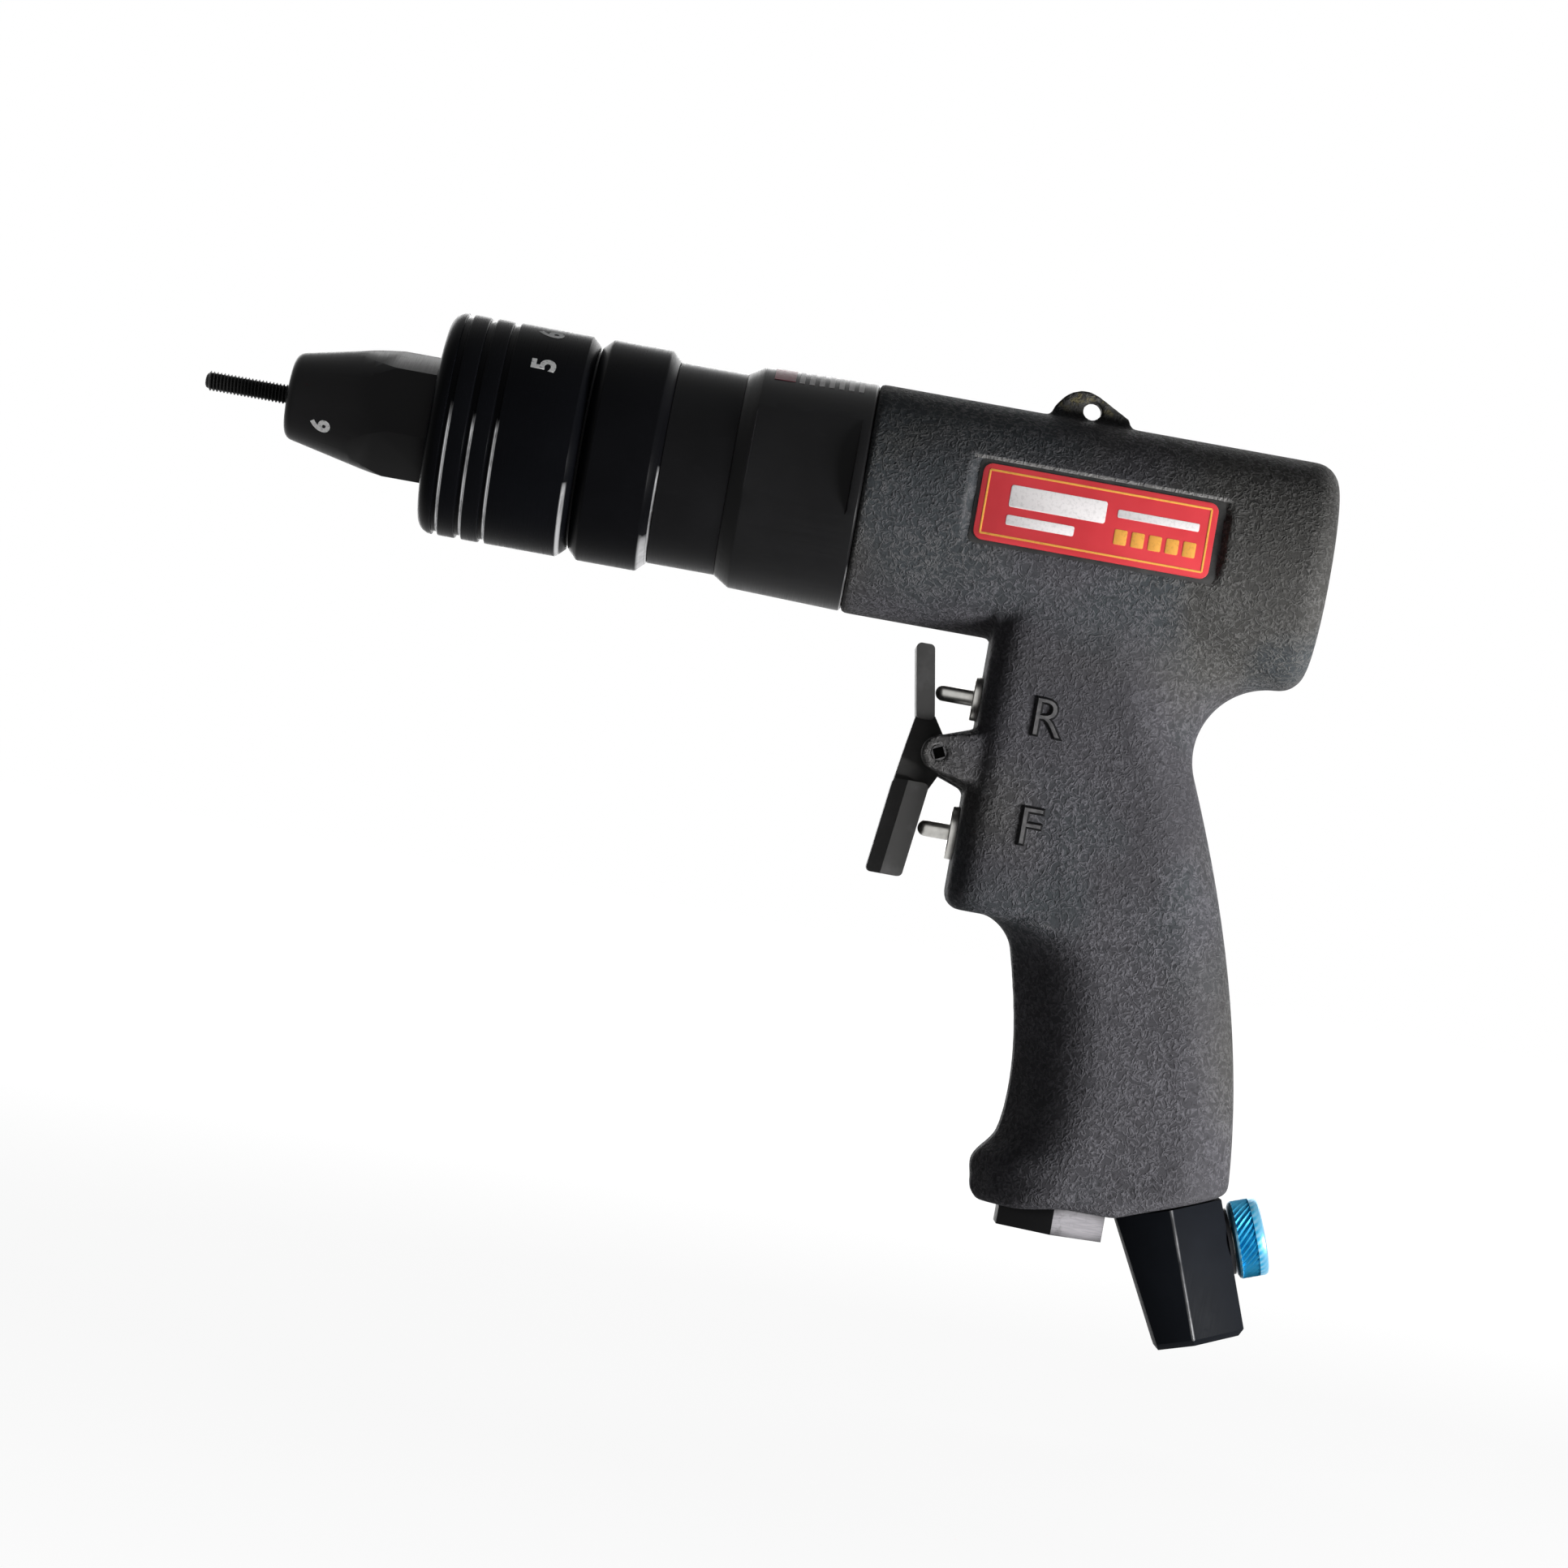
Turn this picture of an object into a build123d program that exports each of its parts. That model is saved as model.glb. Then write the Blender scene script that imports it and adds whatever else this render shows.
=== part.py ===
from build123d import *
import os
from math import acos, cos, pi, radians, sin, tan

os.makedirs("parts", exist_ok=True)

# A pistol-grip air tool that sets rivet nuts. The drive axis is X, with the nose towards -X and the
# hand grip down towards -Z. The origin lies on the drive axis in the nose face that presses on the work.

# Fits in mm: a fixed seat, a turning fit, the end play of a turning face, and room beside moving parts
SEAT_FIT = 0.03
RUNNING_FIT = 0.06
END_PLAY = 0.15
SIDE_ROOM = 0.4

# Turn that brings a flat of a hexagon, and not a corner, to face along its plane
FLAT_FORWARD = 30.0

# Mandrel and nosepiece
MANDREL_DIAMETER = 4.0
MANDREL_SHANK_DIAMETER = 3.6
MANDREL_REACH = 17.0
MANDREL_TIP_CHAMFER = 0.6
MANDREL_HEAD_FLATS = 7.0
MANDREL_HEAD_LENGTH = 8.0
MANDREL_ROOM = 0.2
NOSE_LENGTH = 31.5
NOSE_TIP_RADIUS = 8.4
NOSE_TIP_ROUND = 2.2
NOSE_CONE_LENGTH = 21.0
NOSE_BASE_RADIUS = 13.0
NOSE_FLATS = 22.5
NOSE_TURN = 20.5
NOSE_SHANK_RADIUS = 9.0
NOSE_SHANK_LENGTH = 8.5

# Size ring, lock ring and the clutch housing that carries them
RING_RADIUS = 22.2
RING_OVERHANG = 2.1
RING_LENGTH = 29.9
RING_FRONT_ROUND = 3.0
RING_REAR_CHAMFER = 1.8
GROOVE_COUNT = 3
GROOVE_FIRST = 3.6
GROOVE_PITCH = 4.7
GROOVE_WIDTH = 1.1
GROOVE_DEPTH = 0.7
LOCK_RING_LENGTH = 15.8
LOCK_RING_CHAMFER = 2.0
SLEEVE_RADIUS = 19.6
NECK_RADIUS = 20.2
NECK_LENGTH = 13.4
CLUTCH_CAVITY_RADIUS = 13.0
SPIGOT_RADIUS = 17.0
SPIGOT_LENGTH = 8.0

# Thrust bearing and clutch
THRUST_RACE_THICKNESS = 1.5
THRUST_BALL_RADIUS = 1.5
THRUST_BALL_COUNT = 10
THRUST_BALL_ROOM = 0.04
SLEEVE_JOURNAL_RADIUS = 5.5
SLEEVE_FLANGE_RADIUS = 11.8
SLEEVE_FLANGE_LENGTH = 3.5
SLEEVE_BODY_RADIUS = 8.0
SLEEVE_BACK_WALL = 2.5
CLUTCH_BALL_RADIUS = 2.0
CLUTCH_BALL_COUNT = 6
CLUTCH_BALL_INSET = 0.6
CLUTCH_GAP = 0.8
CLUTCH_CAM_LENGTH = 5.5
CLUTCH_SPRING_WIRE = 1.8
CLUTCH_SPRING_TURNS = 3.5
SPRING_SEAT_THICKNESS = 2.0

# Planetary gear
GEAR_MODULE = 0.7
SUN_TEETH = 12
PLANET_TEETH = 15
PLANET_COUNT = 3
GEAR_WIDTH = 9.0
PRESSURE_ANGLE = 25.0
ADDENDUM = 0.9
DEDENDUM = 1.25
BACKLASH = 0.05
FLANK_STEPS = 3
RING_GEAR_WALL = 2.9
CARRIER_SHAFT_FLATS = 10.0
CARRIER_PLATE_THICKNESS = 4.5
CARRIER_HUB_RADIUS = 7.6
CARRIER_RIM = 1.5
PLANET_PIN_RADIUS = 2.4

# Ball bearings: the spindle's, then the pair in the motor
SPINDLE_BEARING_BORE = 12.0
SPINDLE_BEARING_OUTER = 28.0
SPINDLE_BEARING_WIDTH = 8.0
MOTOR_BEARING_BORE = 10.0
MOTOR_BEARING_OUTER = 26.0
MOTOR_BEARING_WIDTH = 8.0
BALL_SHARE = 0.3
BALL_SPACING = 1.3
BALL_ROOM = 0.04

# Gear case
GEAR_CASE_LENGTH = 26.0
GEAR_CASE_STEP = 0.2
GEAR_CASE_TAPER = 0.6
GEAR_CASE_BEVEL = 3.2
GEAR_CASE_WALL = 1.5
GEAR_CASE_SPIGOT_RADIUS = 20.0
GEAR_CASE_SPIGOT_LENGTH = 7.0
WRENCH_FLAT_DEPTH = 1.7
WRENCH_FLAT_TURN = 12.0
WRENCH_FLAT_LENGTH = 20.5
PARTING_CHAMFER = 0.5

# Vane motor
MOTOR_BORE_RADIUS = 19.4
ROTOR_RADIUS = 13.0
ROTOR_GAP = 0.2
ROTOR_OFFSET = 1.2
END_PLATE_WEB = 2.0
VANE_COUNT = 5
VANE_THICKNESS = 2.0
VANE_DEPTH = 6.5
DOWEL_RADIUS = 1.5
PORT_COUNT = 3
PORT_RADIUS = 3.0
PORT_PITCH = 9.0
MOTOR_WASHER_THICKNESS = 1.2

# Housing casting: barrel, handle, hanger lug
BARREL_RADIUS = 23.0
BARREL_LENGTH = 93.0
BARREL_REAR_WALL = 8.8
BARREL_REAR_ROUND = 5.0
BARREL_OVERHANG = 33.5
HANDLE_FRONT = 30.5
HANDLE_HALF_WIDTH = 16.8
HANDLE_FRONT_ROUND = 7.0
HANDLE_SIDE_STEP = 0.12
HANDLE_DEPTH = 30.0
SHELF_DROP = 77.0
SHELF_NOSE_ROUND = 3.5
SHELF_BLEND = 9.0
SHELF_BLEND_START = 15.0
SHELF_BLEND_END = 78.0
SHELF_BLEND_SINK = 0.1
SHELF_BLEND_SECTIONS = 4
THROAT_BLEND = 15.0
GRIP_ROUND = 12.0
GRIP_BASE_HALF_WIDTH = 18.0
GRIP_DROP = 131.0
BASE_ROUND = 2.4
# Sections of the grip: drop below the axis, front and rear behind the handle's datum, half width
GRIP_SECTIONS = (
    (10.0, 31.5, 59.5, HANDLE_HALF_WIDTH),
    (52.0, 36.5, 78.4, HANDLE_HALF_WIDTH),
    (92.0, 47.6, 91.2, HANDLE_HALF_WIDTH),
    (114.0, 49.6, 95.0, HANDLE_HALF_WIDTH),
    (136.0, 41.0, 95.8, GRIP_BASE_HALF_WIDTH),
)
LUG_RADIUS = 5.7
LUG_PLACE = 42.3
LUG_LEAN = 1.8
LUG_BASE = 15.5
LUG_THICKNESS = 6.0
EYE_RADIUS = 1.9
EYE_RISE = 2.0

# Name plate and its recess
PLATE_LENGTH = 46.5
PLATE_HEIGHT = 15.2
PLATE_THICKNESS = 0.6
PLATE_CORNER = 1.8
PLATE_END_MARGIN = 2.2
PLATE_SIDE_MARGIN = 1.1
PLATE_PLACE = 45.9
PLATE_TURN = 6.0
PLATE_SEAT = 21.0

# Trigger and its ears: places are behind the handle's datum and below the drive axis
PIVOT_PLACE = 24.0
PIVOT_DROP = 47.4
PIVOT_PIN_RADIUS = 1.5
PIVOT_PIN_INSET = 0.3
EAR_NOSE_RADIUS = 3.4
EAR_ROOT_HEIGHT = 13.5
EAR_THICKNESS = 4.0
TRIGGER_HUB_WIDTH = 8.0
TRIGGER_HUB_RADIUS = 3.0
TRIGGER_FRONT = 6.6
TRIGGER_PAD_WIDTH = 15.0
TRIGGER_ROUND = 1.0
PAD_GAP = 6.2
UPPER_PAD_HEIGHT = 14.8
UPPER_PAD_FRONT = 5.4
UPPER_PAD_DEPTH = 3.7
UPPER_PAD_LEAN = 2.6
LOWER_PAD_HEIGHT = 19.0
LOWER_PAD_FRONT = 7.7
LOWER_PAD_DEPTH = 7.2
LOWER_PAD_LEAN = 2.3

# Two slide valves behind the trigger: rise and fall are from its pivot
VALVE_RISE = 12.2
VALVE_FALL = 14.8
STEM_RADIUS = 1.6
STEM_GAP = 0.35
STEM_TRAVEL = 2.2
SPOOL_LENGTH = 4.0
SPOOL_ROOM = 0.3
VALVE_CHAMBER_RADIUS = 3.8
BUSH_RADIUS = 4.2
BUSH_LENGTH = 9.0
BUSH_FLANGE_RADIUS = 5.3
BUSH_FLANGE_THICKNESS = 1.3
SEAL_WIDTH = 1.2
SEAL_DEPTH = 0.9
VALVE_SPRING_WIRE = 0.7
VALVE_SPRING_TURNS = 4.5
VALVE_SPRING_LENGTH = 8.0

# Exhaust in the front of the grip's base
EXHAUST_PLACE = 62.2
EXHAUST_FLATS = 21.0
EXHAUST_HEAD_THICKNESS = 5.5
EXHAUST_SHANK_RADIUS = 8.2
EXHAUST_SHANK_LENGTH = 8.0
EXHAUST_WALL = 1.4
EXHAUST_HOLE_RADIUS = 1.1
EXHAUST_HOLE_RING = 4.2
EXHAUST_HOLE_COUNT = 6
EXHAUST_DUCT_RADIUS = 3.5
EXHAUST_DUCT_SPREAD = 9.5
EXHAUST_POCKET_DEPTH = 3.0
EXHAUST_POCKET_LENGTH = 30.0
SILENCER_THICKNESS = 4.0

# Air inlet on the tilted rear facet of the grip's base, and the flow regulator screwed to it
INLET_TILT = 20.0
INLET_PLACE = 84.6
INLET_DROP = 127.0
INLET_THREAD_RADIUS = 6.55
INLET_PORT_DEPTH = 14.0
INLET_DUCT_RADIUS = 4.0
INLET_BRANCH_RADIUS = 2.0
NIPPLE_IN = 10.0
NIPPLE_OUT = 5.5
NIPPLE_BORE = 3.6
REGULATOR_BORE = 4.2
SCREEN_THICKNESS = 0.8
SCREEN_HOLE_RADIUS = 0.5
SCREEN_PITCH = 1.6
SCREEN_ROWS = 4
GASKET_THICKNESS = 0.6
GASKET_WIDTH = 2.4
REGULATOR_FLATS = 21.0
REGULATOR_LENGTH = 27.0
REGULATOR_RELIEF = 3.6
REGULATOR_END_CHAMFER = 1.2
PORT_THREAD_RADIUS = 5.72
PORT_THREAD_LENGTH = 11.5
PORT_POINT_LENGTH = 0.9
KNOB_DROP = 9.4
KNOB_RADIUS = 7.8
KNOB_THICKNESS = 6.0
KNOB_ROUND = 1.0
KNOB_WASHER_RADIUS = 6.6
KNOB_WASHER_THICKNESS = 0.8
THROTTLE_RADIUS = 3.0
THROTTLE_HOLE_RADIUS = 2.0
THROTTLE_SEAL_PLACE = 3.2
KNOB_SEAT_DEPTH = 3.2
KNOB_SCREW_RADIUS = 1.5
KNOB_SCREW_LENGTH = 5.0
KNOB_SCREW_HEAD_RADIUS = 2.6
KNOB_SCREW_HEAD = 1.4
KNOB_SCREW_SOCKET = 2.0

# Stations along the drive axis, worked out from the nose backwards
ring_front = NOSE_LENGTH - RING_OVERHANG
ring_rear = ring_front + RING_LENGTH
lock_ring_front = ring_rear + SIDE_ROOM
lock_ring_rear = lock_ring_front + LOCK_RING_LENGTH
neck_front = lock_ring_rear + END_PLAY
gear_front = neck_front + NECK_LENGTH
spigot_rear = gear_front + SPIGOT_LENGTH
bearing_front = spigot_rear - SPINDLE_BEARING_WIDTH
ring_gear_front = spigot_rear + GEAR_CASE_WALL
carrier_front = ring_gear_front + SIDE_ROOM
carrier_rear = carrier_front + CARRIER_PLATE_THICKNESS
planet_front = carrier_rear + SIDE_ROOM
planet_rear = planet_front + GEAR_WIDTH
pin_rear = planet_rear + SIDE_ROOM
motor_front = pin_rear + 2 * SIDE_ROOM
housing_front = gear_front + GEAR_CASE_LENGTH
housing_rear = housing_front + BARREL_LENGTH

# Stations of the motor, which fills the barrel up to its rear wall
end_plate_thickness = MOTOR_BEARING_WIDTH + END_PLATE_WEB
cylinder_front = motor_front + end_plate_thickness
motor_bore_end = housing_rear - BARREL_REAR_WALL
rear_plate_rear = motor_bore_end - MOTOR_WASHER_THICKNESS
cylinder_rear = rear_plate_rear - end_plate_thickness

# Stations of the clutch, from the thrust bearing backwards
thrust_front = NOSE_LENGTH + NOSE_SHANK_LENGTH
thrust_ball_place = thrust_front + THRUST_RACE_THICKNESS + THRUST_BALL_RADIUS + THRUST_BALL_ROOM
thrust_rear_race = thrust_ball_place + THRUST_BALL_RADIUS + THRUST_BALL_ROOM
sleeve_flange = thrust_rear_race + THRUST_RACE_THICKNESS
head_front = sleeve_flange + SLEEVE_FLANGE_LENGTH
head_rear = head_front + MANDREL_HEAD_LENGTH
sleeve_rear = head_rear + SLEEVE_BACK_WALL
cam_front = sleeve_rear + CLUTCH_GAP
cam_rear = cam_front + CLUTCH_CAM_LENGTH
spring_seat_front = bearing_front - SPRING_SEAT_THICKNESS

# Sizes of the gears, the motor and the gear case
sun_pitch = GEAR_MODULE * SUN_TEETH / 2
planet_pitch = GEAR_MODULE * PLANET_TEETH / 2
ring_teeth = SUN_TEETH + 2 * PLANET_TEETH
ring_pitch = GEAR_MODULE * ring_teeth / 2
planet_orbit = sun_pitch + planet_pitch
ring_gear_radius = ring_pitch + DEDENDUM * GEAR_MODULE + RING_GEAR_WALL
carrier_radius = planet_orbit + PLANET_PIN_RADIUS + CARRIER_RIM
cylinder_bore = ROTOR_RADIUS + ROTOR_GAP + ROTOR_OFFSET
cylinder_radius = MOTOR_BORE_RADIUS - SEAT_FIT
gear_case_rear_radius = BARREL_RADIUS - GEAR_CASE_STEP
gear_case_front_radius = gear_case_rear_radius - GEAR_CASE_TAPER
parting_chamfer = min(PARTING_CHAMFER, (BARREL_RADIUS - GEAR_CASE_SPIGOT_RADIUS) / 3)

# Places of the handle, trigger, valves and exhaust, from a datum that keeps its distance to the barrel's rear
grip_top_rear = GRIP_SECTIONS[0][2]
handle_datum = housing_rear - BARREL_OVERHANG - grip_top_rear
handle_front = handle_datum + HANDLE_FRONT
pivot_x = handle_datum + PIVOT_PLACE
pivot_z = -PIVOT_DROP
reverse_z = pivot_z + VALVE_RISE
forward_z = pivot_z - VALVE_FALL
ear_inner = TRIGGER_HUB_WIDTH / 2 + SIDE_ROOM
ear_outer = ear_inner + EAR_THICKNESS
bush_rear = handle_front + BUSH_LENGTH
spool_front = bush_rear + STEM_TRAVEL + SIDE_ROOM
spool_rear = spool_front + SPOOL_LENGTH
chamber_end = spool_rear + VALVE_SPRING_LENGTH
exhaust_x = handle_datum + EXHAUST_PLACE
pocket_rear = exhaust_x + EXHAUST_DUCT_RADIUS
pocket_front = pocket_rear - EXHAUST_POCKET_LENGTH


def upright(height):
    """The upright middle plane, with X along the tool and its origin at a height."""
    return Plane(origin=(0, 0, height), x_dir=(1, 0, 0), z_dir=(0, -1, 0))


def turn(*outline, height=0):
    """Turn an outline of (place along X, radius) corners about an axis along X at a height."""
    with BuildSketch(upright(height)) as section:
        with BuildLine():
            Polyline(*outline, close=True)
        make_face()
    revolve(section.sketch, axis=Axis((0, 0, height), (1, 0, 0)))


def tube(front, rear, outer, inner):
    """A plain ring about the drive axis."""
    turn((front, inner), (front, outer), (rear, outer), (rear, inner))


def save(piece, name):
    """Label a finished piece and write its file."""
    piece.part.label = name
    export_step(piece.part, f"parts/{name}.step")


def rim(piece, end, place):
    """The circular edges at one end of a turned piece: the inner ones first."""
    circles = piece.edges().filter_by(GeomType.CIRCLE).group_by(Axis.X)[end]
    return circles.sort_by(SortBy.RADIUS)[place]


def hexagon(flats, plane, length, turned=0, mode=Mode.ADD):
    """A hexagon bar measured across its flats."""
    with BuildSketch(plane) as section:
        RegularPolygon(flats / 2, 6, major_radius=False, rotation=turned)
    extrude(section.sketch, amount=length, mode=mode)


def rod(plane, radius, length, mode=Mode.ADD):
    """A round bar, or with another mode a round hole, that stands on a plane."""
    with BuildSketch(plane) as section:
        Circle(radius)
    extrude(section.sketch, amount=length, mode=mode)


def gear_outline(teeth, root, tip, slack):
    """Corners of an involute gear with a tooth at angle 0, each flank thinned by half the slack."""
    pitch = GEAR_MODULE * teeth / 2
    base = pitch * cos(radians(PRESSURE_ANGLE))
    start = max(base, root)

    def involute(radius):
        pressure = acos(min(1.0, base / radius))
        return tan(pressure) - pressure

    def half_angle(radius):
        return pi / (2 * teeth) - slack / (2 * pitch) + involute(pitch) - involute(radius)

    radii = [start + (tip - start) * step / FLANK_STEPS for step in range(FLANK_STEPS + 1)]
    flank = [(radius, half_angle(radius)) for radius in radii]
    if root < start:
        flank.insert(0, (root, half_angle(start)))
    tooth_side = [(radius, -half) for radius, half in flank] + flank[::-1]
    corners = []
    for tooth in range(teeth):
        middle = 2 * pi * tooth / teeth
        corners += [(radius * cos(middle + side), radius * sin(middle + side)) for radius, side in tooth_side]
    return corners


def gear_bar(plane, corners, length, mode=Mode.ADD):
    """A toothed bar from its outline."""
    with BuildSketch(plane) as section:
        with BuildLine():
            Polyline(*corners, close=True)
        make_face()
    extrude(section.sketch, amount=length, mode=mode)


def coil(start, radius, wire, length, turns):
    """A coil spring along +X from a start point, on its mean radius, with its wire's thickness."""
    path = Helix(length / turns, length, radius, center=start, direction=(1, 0, 0), mode=Mode.PRIVATE)
    with BuildSketch(Plane(path @ 0, z_dir=path % 0)) as section:
        Circle(wire / 2)
    sweep(section.sketch, path=path, is_frenet=True)


def ball_bearing(name, front, bore, outer, width):
    """Three pieces of a ball bearing on the drive axis: its two races and its balls."""
    pitch = (bore + outer) / 4
    ball = (outer - bore) / 2 * BALL_SHARE
    middle = front + width / 2
    groove = ball + BALL_ROOM
    land = ball / 2
    count = int(pi * pitch / (BALL_SPACING * ball))
    with BuildPart() as outer_race:
        tube(front, front + width, outer / 2, pitch + land)
        with BuildSketch(Plane.XZ) as track:
            with Locations((middle, pitch)):
                Circle(groove)
        revolve(track.sketch, axis=Axis.X, mode=Mode.SUBTRACT)
    save(outer_race, f"{name}_outer_race")
    with BuildPart() as inner_race:
        tube(front, front + width, pitch - land, bore / 2)
        revolve(track.sketch, axis=Axis.X, mode=Mode.SUBTRACT)
    save(inner_race, f"{name}_inner_race")
    with BuildPart() as balls:
        with Locations(Plane.YZ.offset(middle)):
            with PolarLocations(pitch, count):
                Sphere(ball)
    save(balls, f"{name}_balls")


# Mandrel: a stud, threaded in front of the nose, with a hexagon head held in the drive sleeve
mandrel_radius = MANDREL_DIAMETER / 2
with BuildPart() as mandrel:
    turn(
        (-MANDREL_REACH, 0),
        (-MANDREL_REACH, mandrel_radius - MANDREL_TIP_CHAMFER),
        (-MANDREL_REACH + MANDREL_TIP_CHAMFER, mandrel_radius),
        (0, mandrel_radius),
        (0, MANDREL_SHANK_DIAMETER / 2),
        (head_rear, MANDREL_SHANK_DIAMETER / 2),
        (head_rear, 0),
    )
    hexagon(MANDREL_HEAD_FLATS, Plane.YZ.offset(head_front), MANDREL_HEAD_LENGTH)
save(mandrel, "mandrel")

# Nosepiece: a cone with a hexagon base, screwed into the clutch housing
with BuildPart() as nosepiece:
    shank_rear = NOSE_LENGTH + NOSE_SHANK_LENGTH
    turn(
        (0, 0),
        (0, NOSE_TIP_RADIUS),
        (NOSE_CONE_LENGTH, NOSE_BASE_RADIUS),
        (NOSE_LENGTH, NOSE_BASE_RADIUS),
        (NOSE_LENGTH, NOSE_SHANK_RADIUS),
        (shank_rear, NOSE_SHANK_RADIUS),
        (shank_rear, 0),
    )
    fillet(rim(nosepiece, 0, -1), NOSE_TIP_ROUND)
    hexagon(NOSE_FLATS, Plane.YZ, shank_rear, turned=NOSE_TURN, mode=Mode.INTERSECT)
    rod(Plane.YZ, mandrel_radius + MANDREL_ROOM, shank_rear, Mode.SUBTRACT)
save(nosepiece, "nosepiece")

# Size ring: turns on the clutch housing and reaches over its front
with BuildPart() as size_ring:
    ring_bore = SLEEVE_RADIUS + RUNNING_FIT
    turn(
        (ring_front, NOSE_BASE_RADIUS + SIDE_ROOM),
        (ring_front, RING_RADIUS),
        (ring_rear - RING_REAR_CHAMFER, RING_RADIUS),
        (ring_rear, RING_RADIUS - RING_REAR_CHAMFER),
        (ring_rear, ring_bore),
        (NOSE_LENGTH - SIDE_ROOM, ring_bore),
        (NOSE_LENGTH - SIDE_ROOM, NOSE_BASE_RADIUS + SIDE_ROOM),
    )
    fillet(rim(size_ring, 0, -1), RING_FRONT_ROUND)
    for groove in range(GROOVE_COUNT):
        groove_front = ring_front + GROOVE_FIRST + groove * GROOVE_PITCH
        with BuildSketch(Plane.XZ) as groove_section:
            with Locations((groove_front, RING_RADIUS)):
                Rectangle(GROOVE_WIDTH, 2 * GROOVE_DEPTH)
        revolve(groove_section.sketch, axis=Axis.X, mode=Mode.SUBTRACT)
save(size_ring, "size_ring")

# Lock ring: turned up against the size ring to hold its setting
with BuildPart() as lock_ring:
    turn(
        (lock_ring_front, SLEEVE_RADIUS + RUNNING_FIT),
        (lock_ring_front, RING_RADIUS - LOCK_RING_CHAMFER),
        (lock_ring_front + LOCK_RING_CHAMFER, RING_RADIUS),
        (lock_ring_rear - LOCK_RING_CHAMFER, RING_RADIUS),
        (lock_ring_rear, RING_RADIUS - LOCK_RING_CHAMFER),
        (lock_ring_rear, SLEEVE_RADIUS + RUNNING_FIT),
    )
save(lock_ring, "lock_ring")

# Clutch housing: carries the two rings outside and the clutch inside, and screws into the gear case
with BuildPart() as clutch_housing:
    bearing_seat = SPINDLE_BEARING_OUTER / 2 + SEAT_FIT
    turn(
        (NOSE_LENGTH, NOSE_SHANK_RADIUS + SEAT_FIT),
        (NOSE_LENGTH, SLEEVE_RADIUS),
        (neck_front, SLEEVE_RADIUS),
        (neck_front, NECK_RADIUS),
        (gear_front, NECK_RADIUS),
        (gear_front, SPIGOT_RADIUS),
        (spigot_rear, SPIGOT_RADIUS),
        (spigot_rear, bearing_seat),
        (bearing_front, bearing_seat),
        (bearing_front, CLUTCH_CAVITY_RADIUS),
        (thrust_front, CLUTCH_CAVITY_RADIUS),
        (thrust_front, NOSE_SHANK_RADIUS + SEAT_FIT),
    )
save(clutch_housing, "clutch_housing")

# Thrust bearing: two plain races with a ring of balls between them takes the pull of the mandrel
thrust_outer = CLUTCH_CAVITY_RADIUS - SIDE_ROOM
thrust_inner = SLEEVE_JOURNAL_RADIUS + RUNNING_FIT
with BuildPart() as thrust_front_race:
    tube(thrust_front, thrust_front + THRUST_RACE_THICKNESS, thrust_outer, thrust_inner)
save(thrust_front_race, "thrust_front_race")
with BuildPart() as thrust_balls:
    with Locations(Plane.YZ.offset(thrust_ball_place)):
        with PolarLocations((thrust_outer + thrust_inner) / 2, THRUST_BALL_COUNT):
            Sphere(THRUST_BALL_RADIUS)
save(thrust_balls, "thrust_balls")
with BuildPart() as thrust_rear_race_piece:
    tube(thrust_rear_race, sleeve_flange, thrust_outer, SLEEVE_JOURNAL_RADIUS + SEAT_FIT)
save(thrust_rear_race_piece, "thrust_rear_race")

# Drive sleeve: holds the mandrel's head in a hexagon socket and carries the driven half of the clutch
clutch_ball_ring = SLEEVE_FLANGE_RADIUS - CLUTCH_BALL_RADIUS - CLUTCH_BALL_INSET
ball_pocket = CLUTCH_BALL_RADIUS + RUNNING_FIT
clutch_ball_place = sleeve_rear + CLUTCH_GAP / 2
with BuildPart() as drive_sleeve:
    turn(
        (thrust_front + END_PLAY, mandrel_radius + MANDREL_ROOM),
        (thrust_front + END_PLAY, SLEEVE_JOURNAL_RADIUS),
        (sleeve_flange, SLEEVE_JOURNAL_RADIUS),
        (sleeve_flange, SLEEVE_FLANGE_RADIUS),
        (head_front, SLEEVE_FLANGE_RADIUS),
        (head_front, SLEEVE_BODY_RADIUS),
        (head_rear, SLEEVE_BODY_RADIUS),
        (head_rear, SLEEVE_FLANGE_RADIUS),
        (sleeve_rear, SLEEVE_FLANGE_RADIUS),
        (sleeve_rear, mandrel_radius + MANDREL_ROOM),
    )
    socket_flats = MANDREL_HEAD_FLATS + 2 * SEAT_FIT
    hexagon(socket_flats, Plane.YZ.offset(head_front), sleeve_rear - head_front, mode=Mode.SUBTRACT)
    with Locations(Plane.YZ.offset(clutch_ball_place)):
        with PolarLocations(clutch_ball_ring, CLUTCH_BALL_COUNT):
            Sphere(ball_pocket, mode=Mode.SUBTRACT)
save(drive_sleeve, "drive_sleeve")

# Clutch balls, and the cam that drives them: the cam slides on the hexagon of the carrier's shaft
with BuildPart() as clutch_balls:
    with Locations(Plane.YZ.offset(clutch_ball_place)):
        with PolarLocations(clutch_ball_ring, CLUTCH_BALL_COUNT):
            Sphere(CLUTCH_BALL_RADIUS)
save(clutch_balls, "clutch_balls")
with BuildPart() as clutch_cam:
    cam_plane = Plane.YZ.offset(cam_front)
    rod(cam_plane, SLEEVE_FLANGE_RADIUS, CLUTCH_CAM_LENGTH)
    hexagon(CARRIER_SHAFT_FLATS + 2 * RUNNING_FIT, cam_plane, CLUTCH_CAM_LENGTH, mode=Mode.SUBTRACT)
    with Locations(Plane.YZ.offset(clutch_ball_place)):
        with PolarLocations(clutch_ball_ring, CLUTCH_BALL_COUNT):
            Sphere(ball_pocket, mode=Mode.SUBTRACT)
save(clutch_cam, "clutch_cam")

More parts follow.
